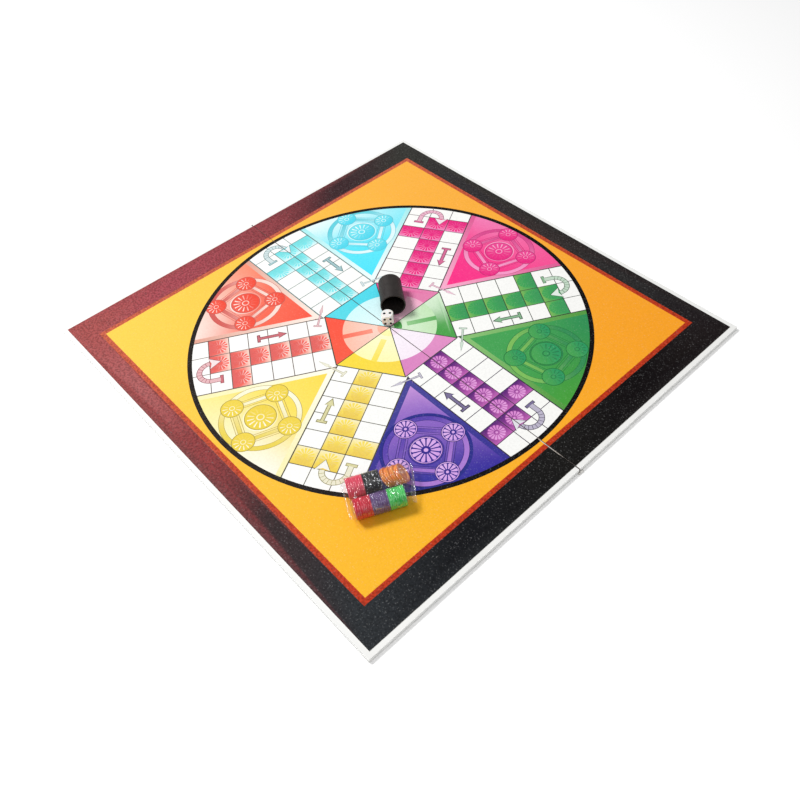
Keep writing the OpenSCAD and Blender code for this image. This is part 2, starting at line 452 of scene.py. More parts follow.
@dataclass(frozen=True)
class MouldedFinish:
    """Moulded plastic with slight flow marks, handling wear and a soft or high gloss."""

    name: str
    ink: str
    flow: str
    roughness: float = 0.3
    specular: float = 0.5
    glow: float = 0.0
    scuff: float = 0.1

    def build(self) -> bpy.types.Material:
        """Makes the material."""
        bench = Bench(self.name)
        flow = bench.spread(bench.noise(0.12, 3, (1, 1, 2.5)), (0.35, 0.0), (0.7, 1.0))
        rub = bench.noise(1.1, 6, (1, 1.8, 1))
        bench.set(
            Base_Color=bench.mix(flow, linear(self.ink), linear(self.flow)),
            Roughness=bench.spread(rub, (0.35, self.roughness), (0.75, self.roughness + self.scuff)),
            Specular_IOR_Level=self.specular,
        )
        if self.glow:
            bench.set(Subsurface_Weight=self.glow, Subsurface_Scale=1.5 * MM)
            bench.shader.inputs["Subsurface Radius"].default_value = (1.0, 0.6, 0.5)
        bench.bump(rub, 0.012)
        return bench.material


@dataclass(frozen=True)
class FilmFinish:
    """Clear wrapping film: it lets through what it doesn't mirror, and is milky where it is creased."""

    name: str
    ink: str = "fbfcfe"
    clear: float = 0.06
    creased: float = 0.5
    rim_share: float = 0.35
    roughness: float = 0.11
    fold_depth: float = 1.6

    def build(self) -> bpy.types.Material:
        """Makes the material."""
        bench = Bench(self.name)
        crease = bench.node("ShaderNodeAttribute", attribute_name="crease").outputs["Fac"]
        edge = bench.node("ShaderNodeLayerWeight")
        edge.inputs["Blend"].default_value = 0.2
        rim = bench.spread(edge.outputs["Facing"], (0.6, 0.0), (1.0, self.rim_share))
        blush = bench.spread(bench.noise(0.14, 3, (1, 1, 0.5)), (0.62, 0.0), (0.8, 0.16))
        milk = bench.math("MAXIMUM", crease, blush)
        alpha = bench.spread(milk, (0.0, self.clear), (1.0, self.creased))
        bench.set(
            Base_Color=linear(self.ink),
            Metallic=0.9,
            Alpha=bench.math("MAXIMUM", alpha, rim),
            Roughness=bench.spread(milk, (0.0, self.roughness), (1.0, self.roughness + 0.16)),
        )
        folds = bench.math("ADD", bench.noise(0.16, 2, (1, 1, 0.5)), bench.noise(0.45, 2, (1, 1, 0.6)))
        bench.bump(folds, self.fold_depth, 0.9)
        return bench.material


@dataclass(frozen=True)
class Spot:
    """A turned and shifted plane frame on the printed face: u points away and v to its left."""

    x: float = 0.0
    y: float = 0.0
    turn: float = 0.0

    def at(self, u: float, v: float) -> Point:
        """Gives the board's point for a place in this frame.

        Args:
            u: Place along the frame's direction.
            v: Place to the left of it.

        Returns:
            The board's x and y.
        """
        c, s = math.cos(math.radians(self.turn)), math.sin(math.radians(self.turn))
        return self.x + u * c - v * s, self.y + u * s + v * c

    def local(self, point: Point) -> Point:
        """Gives the place in this frame of a point of the board.

        Args:
            point: The board's x and y.

        Returns:
            The place's u and v.
        """
        c, s = math.cos(math.radians(self.turn)), math.sin(math.radians(self.turn))
        dx, dy = point[0] - self.x, point[1] - self.y
        return dx * c + dy * s, dy * c - dx * s

    def spot(self, u: float, v: float, turn: float = 0.0) -> "Spot":
        """Makes a frame inside this one.

        Args:
            u: Its place along this frame's direction.
            v: Its place to the left.
            turn: Its turn against this frame, in degrees.

        Returns:
            The inner frame.
        """
        return Spot(*self.at(u, v), self.turn + turn)

    def turned(self, turn: float) -> "Spot":
        """Turns this frame about its own origin."""
        return Spot(self.x, self.y, self.turn + turn)

    def arc(self, r: float, start: float, end: float, steps: int) -> list[Point]:
        """Gives points on an arc about this frame's origin.

        Args:
            r: The arc's radius.
            start: Where it starts, in degrees from u.
            end: Where it ends.
            steps: How many steps it takes.

        Returns:
            The points, both ends included.
        """
        angles = (math.radians(start + (end - start) * i / steps) for i in range(steps + 1))
        return [self.at(r * math.cos(a), r * math.sin(a)) for a in angles]


@dataclass(frozen=True)
class Wash:
    """A flat ink, or a gradient of inks along u, that can change to other inks across v."""

    low: tuple[str, ...]
    spot: Spot = Spot()
    along: Span = (0.0, 1.0)
    high: tuple[str, ...] = ()
    across: Span = (-1.0, 1.0)

    def _step(self, inks: tuple[str, ...], share: float) -> Colour:
        """Picks the colour at a share of a row of evenly spaced inks."""
        place = clamp(share) * (len(inks) - 1)
        first = min(int(place), len(inks) - 1)
        second = min(first + 1, len(inks) - 1)
        return mixed(linear(inks[first]), linear(inks[second]), ease(place - first))

    def colour(self, point: Point) -> Colour:
        """Gives the ink's colour at a point of the board.

        Args:
            point: The board's x and y.

        Returns:
            The linear colour.
        """
        if len(self.low) == 1 and not self.high:
            return linear(self.low[0])
        u, v = self.spot.local(point)
        t = (u - self.along[0]) / (self.along[1] - self.along[0])
        under = self._step(self.low, t)
        if not self.high:
            return under
        s = ease((v - self.across[0]) / (self.across[1] - self.across[0]))
        return mixed(under, self._step(self.high, t), s)


@dataclass(frozen=True)
class Team:
    """The inks of one of the six sides of the game.

    Each cell runs from its pale inner side to its strong outer side. Each home runs from its
    point, through its middle, to its low and high outer corners.
    """

    turn: int
    pale: str
    deep: str
    strong: str
    petal: str
    petal_far: str
    line: str
    arrow_line: str
    arrow: str
    hexagon: str
    hexagon_high: str
    hexagon_pale: str
    home_point: str
    home_middle: str
    home_low: str
    home_high: str
    home_trim: str
    home_trim_far: str
    home_line: str
    band_near: str
    band_far: str
    disc: str
    disc_far: str
    ray: str
    ray_far: str
    spoke: bool = True
    wedges: bool = False
    home_wedges: bool = False
    deep_hub: bool = False


TEAMS = (
    Team(
        turn=0, pale="5c2a78", deep="8a3c92", strong="c063b4", petal="dc86d2", petal_far="e6a2e0",
        line="3a3044", arrow_line="241c30", arrow="7c7298",
        hexagon="dd88c4", hexagon_high="e492c8", hexagon_pale="fbeefa",
        home_point="4ca658", home_middle="46a456", home_low="4aa23a", home_high="2f9058",
        home_trim="8cc478", home_trim_far="549c42", home_line="23703c", band_near="7fbf5e", band_far="358f57",
        disc="4aa656", disc_far="2e9a62", ray="2c7c44", ray_far="2a7c50", spoke=False, wedges=True,
    ),
    Team(
        turn=60, pale="7cb85c", deep="42a858", strong="3c9a5c", petal="5cb064", petal_far="449c5c",
        line="364034", arrow_line="34523a", arrow="8cb892", deep_hub=True,
        hexagon="4ea44e", hexagon_high="d8f0d2", hexagon_pale="c8eabc",
        home_point="ff3088", home_middle="fb3a8c", home_low="fb5498", home_high="f682ba",
        home_trim="fbb0d0", home_trim_far="e05c96", home_line="b4306e", band_near="fb9ccb", band_far="dc4c90",
        disc="ee2c84", disc_far="f04c98", ray="f68cbc", ray_far="fcb4d4",
    ),
    Team(
        turn=120, pale="f68ec2", deep="f02c84", strong="e62e80", petal="fba4cc", petal_far="ee4490",
        line="54404a", arrow_line="84405e", arrow="d8709a",
        hexagon="e884b2", hexagon_high="f0509a", hexagon_pale="f6b2ce",
        home_point="4ee4ff", home_middle="5ce8fb", home_low="94eefa", home_high="f2feff",
        home_trim="f2ffff", home_trim_far="a8eef0", home_line="66bccb", band_near="e2fbff", band_far="64d2e0",
        disc="52d8ee", disc_far="7ce6f2", ray="c8f8fc", ray_far="f0ffff",
    ),
    Team(
        turn=180, pale="e2fafb", deep="80eaf0", strong="78dce0", petal="e4fdfc", petal_far="74dcde",
        line="5f7e7e", arrow_line="54787a", arrow="a4c6ca",
        hexagon="52dcee", hexagon_high="5cdcea", hexagon_pale="d4fcff",
        home_point="f85644", home_middle="f86a54", home_low="fa9070", home_high="fde8de",
        home_trim="fef0e4", home_trim_far="e2a492", home_line="c0605a", band_near="fddfd4", band_far="d4605a",
        disc="f0503e", disc_far="ee6050", ray="f89c8c", ray_far="fdeee6", spoke=False,
    ),
    Team(
        turn=240, pale="f8d6c8", deep="f66c60", strong="dc6662", petal="ffeee8", petal_far="e65c58",
        line="62504c", arrow_line="84364a", arrow="cc7078",
        hexagon="fb5a46", hexagon_high="f85e48", hexagon_pale="fdc2ac",
        home_point="fbdc50", home_middle="fde262", home_low="f8ee98", home_high="fffbee",
        home_trim="fffdee", home_trim_far="faf2b4", home_line="a8964a", band_near="fbf8da", band_far="ecd454",
        disc="f0d44e", disc_far="eed44c", ray="f6e896", ray_far="fffbe6",
    ),
    Team(
        turn=300, pale="faf0c0", deep="fae262", strong="eecd58", petal="fcf5cc", petal_far="ecca58",
        line="4e4a38", arrow_line="8c8654", arrow="dcd7a4",
        hexagon="fbde46", hexagon_high="fbdc50", hexagon_pale="fffbb8",
        home_point="d4a0e0", home_middle="8c66c4", home_low="363ca0", home_high="3a309c",
        home_trim="4a4898", home_trim_far="3a3494", home_line="24246a", band_near="5a44ac", band_far="ac7cd4",
        disc="e0b4ee", disc_far="d6a4ea", ray="3c2c8c", ray_far="342c90", home_wedges=True,
    ),
)


@dataclass(frozen=True)
class SheetInks:
    """The inks that the six sides share; a row of inks runs from the board's left to its right."""

    border_front: tuple[str, ...] = (
        "ac5452", "b26060", "923c3e", "36282a", "2a2e32", "15161a", "1a1918", "110c0e", "1e1716",
    )
    # the rear row's greys are lighter than the front row's: painted reflection haze on the black border
    border_rear_with_painted_haze: tuple[str, ...] = (
        "ac5452", "aa4c56", "96444a", "402a2e", "383834", "333032", "38302f", "2e2c2c", "221c20",
    )
    frame: tuple[str, ...] = ("d2664a", "ca4a28", "c63a1c")
    # both rows are lighter and yellower towards the board's left: painted reflection, the wash of glossy
    # reflection there
    ground_front: tuple[str, ...] = ("fed052", "ffbc2c")
    ground_rear: tuple[str, ...] = ("fdb444", "ffa628")
    circle: tuple[str, ...] = ("231d1a", "0c0a0c")
    paper: str = "fdfdfa"
    hexagon_line: str = "3c463c"
    # painted shade: the dark line beside the fold that stands for the shadow in its groove
    crease: str = "6a5a56"
    crack: str = "cfc6bc"


@dataclass(frozen=True)
class MedallionShape:
    """Sizes of a home's ornament: a ring and straps that join four small rosettes about a large one."""

    ring_in: float = 34.2
    ring_out: float = 38.8
    halo: float = 3.4
    ring_steps: int = 72
    small_r: float = 9.9
    small_petals: int = 12
    large_r: float = 14.0
    large_petals: int = 14
    orbit: float = 31.0
    first: float = 24.0
    straps: tuple[float, ...] = (8.6, 7.6, 4.4, 3.6)
    collar: Span = (1.6, 2.5)


@dataclass(frozen=True)
class ArrowShape:
    """Sizes of a straight arrow with its tip at the start and a foot across its far end."""

    head: float
    wing: float
    notch: float
    shaft: float
    shaft_end: float
    foot: float
    foot_half: float
    inset: float
    taper: tuple[float, float, float]

    def outline(self, length: float, grow: float) -> list[Point]:
        """Gives the arrow's outline.

        Args:
            length: How long the arrow is.
            grow: How far the outline moves outwards.

        Returns:
            Places along the arrow and across it.
        """
        tip, back, side = self.taper
        foot = length - self.foot - grow
        half = [
            (-tip * grow, 0.0),
            (self.head + back * grow, self.wing + side * grow),
            (self.head - self.notch - grow, self.shaft + grow),
            (foot, self.shaft_end + grow),
            (foot, self.foot_half + grow),
            (length + grow, self.foot_half + grow),
        ]
        return half + [(u, -v) for u, v in reversed(half[1:])]


@dataclass(frozen=True)
class TurnArrowShape:
    """Sizes of the arrow that turns round, in its arm's frame."""

    start: float = 169.6
    bend_u: float = 181.0
    bend_v: float = 11.3
    bend_r: float = 12.0
    half: float = 2.9
    inset: float = 0.6
    foot: float = 3.6
    foot_half: float = 5.6
    bend_end: float = -84.0
    tip_u: float = 170.6
    ribs: int = 9
    first_rib: float = 78.0
    rib_step: float = 18.0
    rib_width: float = 0.5


@dataclass
class Artwork:
    """The printed game: shapes painted one over the other, in millimetres from the board's centre."""

    half_length: float
    half_width: float
    fold_gap: float
    centre: Spot = Spot(-2.0, 0.4)
    circle_r: float = 205.0
    circle_line: float = 4.7
    ground_half: float = 209.3
    frame_half: float = 214.3
    hexagon_r: float = 71.0
    hexagon_turn: float = 31.2
    pale_r: float = 48.2
    hub_r: float = 12.6
    hub_hole_r: float = 4.5
    spoke_line: float = 0.9
    hexagon_line: float = 1.1
    rows: tuple[float, ...] = (61.3, 81.5, 101.8, 122.2, 142.5, 161.8, 182.4, 203.5)
    columns: tuple[float, ...] = (-32.9, -10.3, 13.5, 39.2)
    cell_line: float = 0.8
    side_line: float = 1.2
    trim: float = 5.8
    trim_starts: Span = (58.0, 72.0)
    cell_r: float = 8.3
    cell_petals: int = 14
    cell_ray: float = 1.15
    home_r: float = 161.6
    home_turn: float = 30.5
    mesh_pitch: float = 9.0
    medallion_shape: MedallionShape = MedallionShape()
    straight_length: float = 31.0
    straight_shape: ArrowShape = ArrowShape(
        head=9.8, wing=5.1, notch=1.6, shaft=2.1, shaft_end=2.1, foot=3.4, foot_half=5.4, inset=0.85,
        taper=(2.2, 0.6, 1.1),
    )
    corner_shape: ArrowShape = ArrowShape(
        head=12.5, wing=2.0, notch=0.5, shaft=0.9, shaft_end=1.2, foot=2.4, foot_half=4.2, inset=0.5,
        taper=(3.5, 1.0, 0.7),
    )
    corner_ends: tuple[Point, Point] = ((54.6, 51.2), (76.9, 26.4))
    turn_shape: TurnArrowShape = TurnArrowShape()
    # width of the painted shade line beside the fold
    crease_shade_width: float = 0.12
    crack_depths: tuple[Point, ...] = (
        (200.5, 0.15), (204.0, 0.75), (212.5, 0.8), (219.0, 0.7), (226.0, 0.6), (231.5, 0.1),
    )
    inks: SheetInks = SheetInks()
    shapes: list[tuple[list[Point], Wash]] = field(default_factory=list)

    def paint(self, points: Iterable[Point], wash: Wash) -> None:
        """Lays a shape over what is painted so far."""
        self.shapes.append((list(points), wash))

    def box(self, spot: Spot, u: tuple[float, float], v: tuple[float, float], wash: Wash) -> None:
        """Paints a rectangle.

        Args:
            spot: The frame that it lies in.
            u: Its start and end along the frame.
            v: Its start and end across the frame.
            wash: Its ink.
        """
        self.paint([spot.at(u[0], v[0]), spot.at(u[1], v[0]), spot.at(u[1], v[1]), spot.at(u[0], v[1])], wash)

    def disc(self, spot: Spot, r: float, wash: Wash, steps: int = 40) -> None:
        """Paints a disc about a frame's origin."""
        self.paint(spot.arc(r, 0, 360 * (steps - 1) / steps, steps - 1), wash)

    def band(
        self, spot: Spot, inner: float, outer: float, start: float, end: float, wash: Wash, steps: int = 24
    ) -> None:
        """Paints a curved band.

        Args:
            spot: The frame whose origin is the band's centre.
            inner: Its inner radius.
            outer: Its outer radius.
            start: Where it starts, in degrees.
            end: Where it ends.
            wash: Its ink.
            steps: Steps along it.
        """
        self.paint(spot.arc(outer, start, end, steps) + spot.arc(inner, end, start, steps), wash)

    def ring(self, spot: Spot, inner: float, outer: float, wash: Wash, steps: int = 48) -> None:
        """Paints a ring as two half bands."""
        for start in (0, 180):
            self.band(spot, inner, outer, start, start + 180, wash, steps // 2)

    def stroke(self, a: Point, b: Point, width: float, wash: Wash) -> None:
        """Paints a straight line between two points of the board."""
        length = math.dist(a, b)
        spot = Spot(*a, math.degrees(math.atan2(b[1] - a[1], b[0] - a[0])))
        self.box(spot, (0, length), (-width / 2, width / 2), wash)

    def rosette(self, spot: Spot, r: float, petals: int, wash: Wash, gap: Wash) -> None:
        """Paints a ring of wedge petals with a small round eye.

        Args:
            spot: The frame at its centre.
            r: Its outer radius.
            petals: How many petals it has.
            wash: The petals' ink.
            gap: The ink of the eye's rim.
        """
        step = 360 / petals
        wide, narrow = 0.36 * step, 0.24 * step
        root, shoulder = 0.34 * r, 0.9 * r
        for i in range(petals):
            petal = spot.turned(i * step)
            outline = petal.arc(root, narrow, -narrow, 1) + petal.arc(shoulder, -wide, -wide, 1)[:1]
            outline += petal.arc(r, -0.6 * wide, 0.6 * wide, 2) + petal.arc(shoulder, wide, wide, 1)[:1]
            self.paint(outline, wash)
        self.disc(spot, 0.25 * r, gap, 12)
        self.disc(spot, 0.16 * r, wash, 10)

    def rays(self, spot: Spot, inner: float, outer: float, count: int, width: float, wash: Wash) -> None:
        """Paints a ring of thin straight rays.

        Args:
            spot: The frame at their centre.
            inner: Where they start.
            outer: Where they end.
            count: How many there are.
            width: Their width at the outer end.
            wash: Their ink.
        """
        for i in range(count):
            ray = spot.turned(i * 360 / count)
            ends = ((inner, -width / 4), (outer, -width / 2), (outer, width / 2), (inner, width / 4))
            self.paint([ray.at(u, v) for u, v in ends], wash)

    def sheet(self) -> None:
        """Paints the dark border, the thin frame and the bright ground of the whole sheet."""
        leaves = ((self.fold_gap / 2, self.half_width), (-self.half_width, -self.fold_gap / 2))
        diagonal = Spot(turn=45)
        # towards the rear the border carries painted reflection haze
        border = Wash(self.inks.border_front, diagonal, (-320.0, 320.0), self.inks.border_rear_with_painted_haze, (-60.0, 60.0))
        for low, high in leaves:
            self.box(Spot(), (-self.half_length, self.half_length), (low, high), border)
        frame = Wash(self.inks.frame, Spot(), (-212.0, 212.0))
        self.box(Spot(), (-self.frame_half, self.frame_half), (-self.frame_half, self.frame_half), frame)

    def ground(self) -> None:
        """Paints the bright ground as four corners around the circle, and the circle's line."""
        h = self.ground_half
        wash = Wash(self.inks.ground_front, Spot(), (-h, h), self.inks.ground_rear, (-h, h))
        line_r = self.circle_r - self.circle_line / 2
        for turn in (0, 90, 180, 270):
            corner = Spot(turn=turn)
            rim = corner.arc(line_r, 0, 90, 40)
            self.paint([corner.at(h, 0), corner.at(h, h), corner.at(0, h), *reversed(rim)], wash)
        ink = Wash(self.inks.circle, Spot(turn=45), (-200.0, 200.0))
        self.ring(Spot(), self.circle_r - self.circle_line, self.circle_r, ink, 160)

    def arm_end(self, v: float) -> float:
        """Gives how far a line at v runs before the circle's line covers it."""
        return math.sqrt((self.circle_r - 1.5) ** 2 - v**2)

    def home(self, team: Team) -> None:
        """Paints the home to the left of a team's arm, with its trim and its five rosettes.

        Args:
            team: The team whose arm lies to the right of the home; it holds the home's inks.
        """
        arm, after = self.centre.turned(team.turn), self.centre.turned(team.turn + 60)
        right, left = self.columns[-1], self.columns[0]
        axis = self.centre.turned(team.turn + self.home_turn)
        apex = arm.at((left * -1 + right * 0.5) / math.sin(math.radians(60)), right)
        reach = (62.0, 200.0)
        wash = Wash(
            (team.home_point, team.home_middle, team.home_low), axis, reach,
            (team.home_point, team.home_middle, team.home_high), (-75.0, 75.0),
        )
        rim = self.centre.arc(self.circle_r, team.turn + 8, team.turn + 54, 24)
        self.paint([apex, arm.at(self.arm_end(right), right), *rim, after.at(self.arm_end(left), left)], wash)
        trim = Wash((team.home_trim, team.home_trim_far), axis, reach)
        self.box(arm, (self.trim_starts[0], self.arm_end(right)), (right, right + self.trim), trim)
        self.box(after, (self.trim_starts[1], self.arm_end(left)), (left - self.trim, left), trim)
        self.medallion(Spot(*axis.at(self.home_r, 0), axis.turn), team)

    def medallion(self, spot: Spot, team: Team) -> None:
        """Paints a ring that joins four small rosettes about a large one.

        Args:
            spot: The frame at its centre, looking away from the board's centre.
            team: The inks.
        """
        shape = self.medallion_shape
        line = Wash((team.home_line,))
        skew = spot.turned(30)
        band = Wash((team.band_near, team.band_far), skew, (-30.0, 30.0))
        back = Wash(
            (team.home_middle, team.home_low), spot, (-34.0, 60.0),
            (team.home_middle, team.home_high), (-60.0, 60.0),
        )
        ring_in, ring_out, steps = shape.ring_in, shape.ring_out, shape.ring_steps
        if team.home_wedges:
            halo = Wash((tinted(team.home_line, team.home_low, 0.6),))
            self.ring(spot, ring_out, ring_out + shape.halo, halo, steps)
        self.ring(spot, ring_in - 0.4, ring_out + 0.5, line, steps)
        self.ring(spot, ring_in, ring_out, band, steps)
        smalls = [spot.turned(shape.first + 90 * k) for k in range(4)]
        for one, other in zip(smalls, smalls[1:] + smalls[:1]):
            for width, wash in zip(shape.straps, (line, back, line, band)):
                self.stroke(one.at(shape.orbit, 0), other.at(shape.orbit, 0), width, wash)
        collar = Wash((team.ray, team.ray_far), skew, (-16.0, 16.0))
        self.ring(spot, *(shape.large_r + reach for reach in shape.collar), collar, 48)
        self.bloom(spot, shape.large_r, shape.large_petals, team)
        for small in smalls:
            upright = small.spot(shape.orbit, 0, spot.turn - small.turn)
            self.bloom(upright, shape.small_r, shape.small_petals, team)

    def bloom(self, spot: Spot, r: float, petals: int, team: Team) -> None:
        """Paints a rosette on its own round ground.

        Args:
            spot: The frame at its centre.
            r: Its radius.
            petals: How many petals it has.
            team: The inks.
        """
        skew = spot.turned(40)
        disc = Wash((team.disc, team.disc_far), skew, (-r, r))
        ray = Wash((team.ray, team.ray_far), skew, (-r, r))
        self.disc(spot, r + 1.3, Wash((team.home_line,)), 36)
        self.disc(spot, r + 0.6, disc, 36)
        if team.home_wedges:
            self.disc(spot, r - 0.2, ray, 32)
            self.rosette(spot, r - 0.7, petals, disc, ray)
            return
        fine = Wash((team.disc, team.ray_far), skew, (-0.7 * r, 0.7 * r))
        self.rays(spot, 0.42 * r, 0.9 * r, petals, 0.11 * r, fine)
        self.ring(spot, 0.2 * r, 0.28 * r, ray, 16)

    def arm(self, team: Team) -> None:
        """Paints a team's arm: its white cells, coloured cells, lines and arrows.

        Args:
            team: The inks.
        """
        spot = self.centre.turned(team.turn)
        rows, columns = self.rows, self.columns
        paper = Wash((self.inks.paper,))
        self.box(spot, (rows[0] - 4, rows[-1]), (columns[0], columns[-1]), paper)
        coloured = [(row, 1) for row in range(6)] + [(4, 2), (5, 0)]
        for row, column in coloured:
            self.cell(spot, team, (rows[row], rows[row + 1]), (columns[column], columns[column + 1]))
        line = Wash((team.line,))
        for u in rows[1:-1]:
            self.stroke(spot.at(u, columns[0]), spot.at(u, columns[-1]), self.cell_line, line)
        for v in columns[1:-1]:
            self.stroke(spot.at(rows[0] - 2, v), spot.at(self.arm_end(v), v), self.cell_line, line)
        for v in (columns[0], columns[-1]):
            self.stroke(spot.at(rows[0] - 2, v), spot.at(self.arm_end(v), v), self.side_line, line)
        tip = spot.spot(rows[2] + 0.6, (columns[0] + columns[1]) / 2)
        self.arrow(tip, self.straight_length, self.straight_shape, (team.arrow_line, team.arrow))
        self.turn_arrow(spot, team)

    def cell(self, spot: Spot, team: Team, u: Span, v: Span) -> None:
        """Paints a coloured cell with its rosette.

        Args:
            spot: The arm's frame.
            team: The inks.
            u: The cell's start and end along the arm.
            v: The cell's start and end across the arm.
        """
        middle = spot.spot(sum(u) / 2, sum(v) / 2)
        self.box(spot, u, v, Wash((team.pale, team.deep, team.strong), spot, u))
        r, petals = self.cell_r, self.cell_petals
        petal = Wash((team.petal, team.petal_far), middle, (-r, 0.6 * r))
        gap = Wash((team.deep, team.strong), middle, (-r, r))
        self.disc(middle, r + 0.5, gap, 28)
        if team.wedges:
            self.rosette(middle, r, petals, petal, gap)
        else:
            self.rays(middle, 0.34 * r, r + 0.6, petals, self.cell_ray, petal)

    def arrow(self, spot: Spot, length: float, shape: ArrowShape, inks: tuple[str, str]) -> None:
        """Paints a straight arrow as its line's shape with a smaller one over it.

        Args:
            spot: The frame at its tip, looking towards its foot.
            length: How long it is.
            shape: Its other sizes.
            inks: The inks of its line and its inside.
        """
        for grow, ink in zip((0.0, -shape.inset), inks):
            self.paint([spot.at(u, v) for u, v in shape.outline(length, grow)], Wash((ink,)))

    def turn_arrow(self, spot: Spot, team: Team) -> None:
        """Paints the arrow that turns round at the arm's end into the middle column.

        Args:
            spot: The arm's frame.
            team: The inks.
        """
        shape = self.turn_shape
        start, r = shape.start, shape.bend_r
        bend = spot.spot(shape.bend_u, shape.bend_v)
        tail_v = shape.bend_v + r
        pale = tinted(team.arrow, "ffffff", 0.5)
        layers = (
            (0.0, team.arrow_line, team.arrow_line, team.arrow_line),
            (-shape.inset, pale, team.arrow, tinted(pale, "ffffff", 0.6)),
        )
        for grow, ink, foot_ink, head_ink in layers:
            w, foot_half = shape.half + grow, shape.foot_half + grow
            self.box(spot, (start + 2, shape.bend_u + 0.1), (tail_v - w, tail_v + w), Wash((ink,)))
            foot = (start - grow, start + shape.foot + grow)
            self.box(spot, foot, (tail_v - foot_half, tail_v + foot_half), Wash((foot_ink,)))
            self.band(bend, r - w, r + w, 90, shape.bend_end, Wash((ink,)), 20)
            head = (
                (shape.tip_u - 1.6 * grow, shape.bend_v - r - 0.6),
                (183.8 + 0.5 * grow, -8.4 - 1.3 * grow),
                (180.4, -0.6),
                (182.2 + 0.5 * grow, 7.4 + 1.3 * grow),
            )
            self.paint([spot.at(u, v) for u, v in head], Wash((head_ink,)))
        hatch = Wash((tinted(team.arrow_line, team.arrow, 0.4),))
        reach = shape.half - 0.6
        for i in range(shape.ribs):
            rib = bend.turned(shape.first_rib - shape.rib_step * i)
            self.stroke(rib.at(r - reach, 0), rib.at(r + reach, 0), shape.rib_width, hatch)

    def corner_arrow(self, team: Team) -> None:
        """Paints the thin arrow across a corner of the hexagon into the arm to the right.

        Args:
            team: The team whose arm the arrow leaves.
        """
        arm = self.centre.turned(team.turn - 60)
        tail, tip = (arm.at(*end) for end in self.corner_ends)
        spot = Spot(*tip, math.degrees(math.atan2(tail[1] - tip[1], tail[0] - tip[0])))
        inks = (tinted(team.arrow_line, "ffffff", 0.3), tinted(team.arrow, "ffffff", 0.6))
        self.arrow(spot, math.dist(tail, tip), self.corner_shape, inks)

    def hexagon(self) -> None:
        """Paints the six triangles in the middle, their pale fans, the hub and the lines."""
        centre = self.centre
        edge = Wash((self.inks.hexagon_line,))
        for team in TEAMS:
            start = self.hexagon_turn + team.turn - 60
            corners = [centre.turned(start + 60 * k).at(self.hexagon_r, 0) for k in (0, 1)]
            across = centre.turned(team.turn)
            rich = Wash((team.hexagon,), across, (0, 1), (team.hexagon_high,), (-16.0, 24.0))
            self.paint([centre.at(0, 0), *corners], rich)
        for team in TEAMS:
            start = self.hexagon_turn + team.turn - 60
            across = centre.turned(team.turn)
            pale = tinted(team.hexagon_pale, "ffffff", 0.3)
            fan = Wash((pale, team.hexagon_pale), across, (15.0, self.pale_r))
            self.paint([centre.at(0, 0), *centre.arc(self.pale_r, start, start + 60, 14)], fan)
            if team.spoke:
                tints = tuple(tinted(team.hexagon, team.hexagon_pale, share) for share in (0.6, 0.2))
                spoke = Wash(tints, across, (18.0, self.pale_r))
                self.box(across, (18.0, self.pale_r + 0.6), (-3.0, 3.0), spoke)
            hub = Wash((tinted(team.hexagon_pale, team.hexagon, 0.95 if team.deep_hub else 0.08),))
            gap = 4 if team.deep_hub else 0
            self.band(centre, self.hub_hole_r, self.hub_r, start + gap, start + 60 - gap, hub, 8)
        for k in range(6):
            corner = centre.turned(self.hexagon_turn + 60 * k)
            following = centre.turned(self.hexagon_turn + 60 * (k + 1))
            ends = corner.at(self.hexagon_r, 0), following.at(self.hexagon_r, 0)
            self.stroke(centre.at(0, 0), ends[0], self.spoke_line, edge)
            self.stroke(*ends, self.hexagon_line, edge)

    def crack(self) -> None:
        """Paints a dark line of painted shade beside the fold, for the shadow in the crease's groove, and the
        worn line where the border has cracked.
        """
        near, far = self.fold_gap / 2, self.fold_gap / 2 + self.crease_shade_width
        # painted shade: a dark line on each side of the fold
        for side in (1, -1):
            edges = (min(side * near, side * far), max(side * near, side * far))
            self.box(Spot(), (-self.circle_r, self.circle_r), edges, Wash((self.inks.crease,)))
        over = [(x, -near) for x, _ in self.crack_depths]
        under = [(x, -near - depth) for x, depth in reversed(self.crack_depths)]
        self.paint(over + under, Wash((self.inks.crack,)))

    def compose(self) -> None:
        """Paints the whole print from the back to the front."""
        self.sheet()
        for team in TEAMS:
            self.home(team)
        for team in TEAMS:
            self.arm(team)
        self.hexagon()
        for team in TEAMS:
            self.corner_arrow(team)
        self.ground()
        self.crack()

    def mesh(self) -> tuple[list[Point], list[tuple[int, int, int]], list[int]]:
        """Cuts the print into triangles that follow the shapes' edges.

        Returns:
            The points, the triangles, and for each triangle the number of the shape that shows.
        """
        verts: list[Vector] = []
        faces: list[list[int]] = []
        for points, _ in self.shapes:
            first = len(verts)
            area = sum(a[0] * b[1] - b[0] * a[1] for a, b in zip(points, points[1:] + points[:1]))
            verts += [Vector((round(x, 3), round(y, 3))) for x, y in (points if area > 0 else points[::-1])]
            faces.append(list(range(first, len(verts))))
        steps_x = int(2 * self.half_length / self.mesh_pitch)
        steps_y = int(2 * self.half_width / self.mesh_pitch)
        for i in range(1, steps_x):
            for j in range(1, steps_y):
                x = -self.half_length + i * self.mesh_pitch + 0.37 * (j % 3)
                y = -self.half_width + j * self.mesh_pitch + 0.29 * (i % 3)
                verts.append(Vector((x, y)))
        points, _, triangles, _, _, owners = delaunay_2d_cdt(verts, [], faces, 1, 0.01)
        kept = [(tri, max(own)) for tri, own in zip(triangles, owners) if own and min(own) < 2]
        return [tuple(p) for p in points], [tuple(t) for t, _ in kept], [o for _, o in kept]


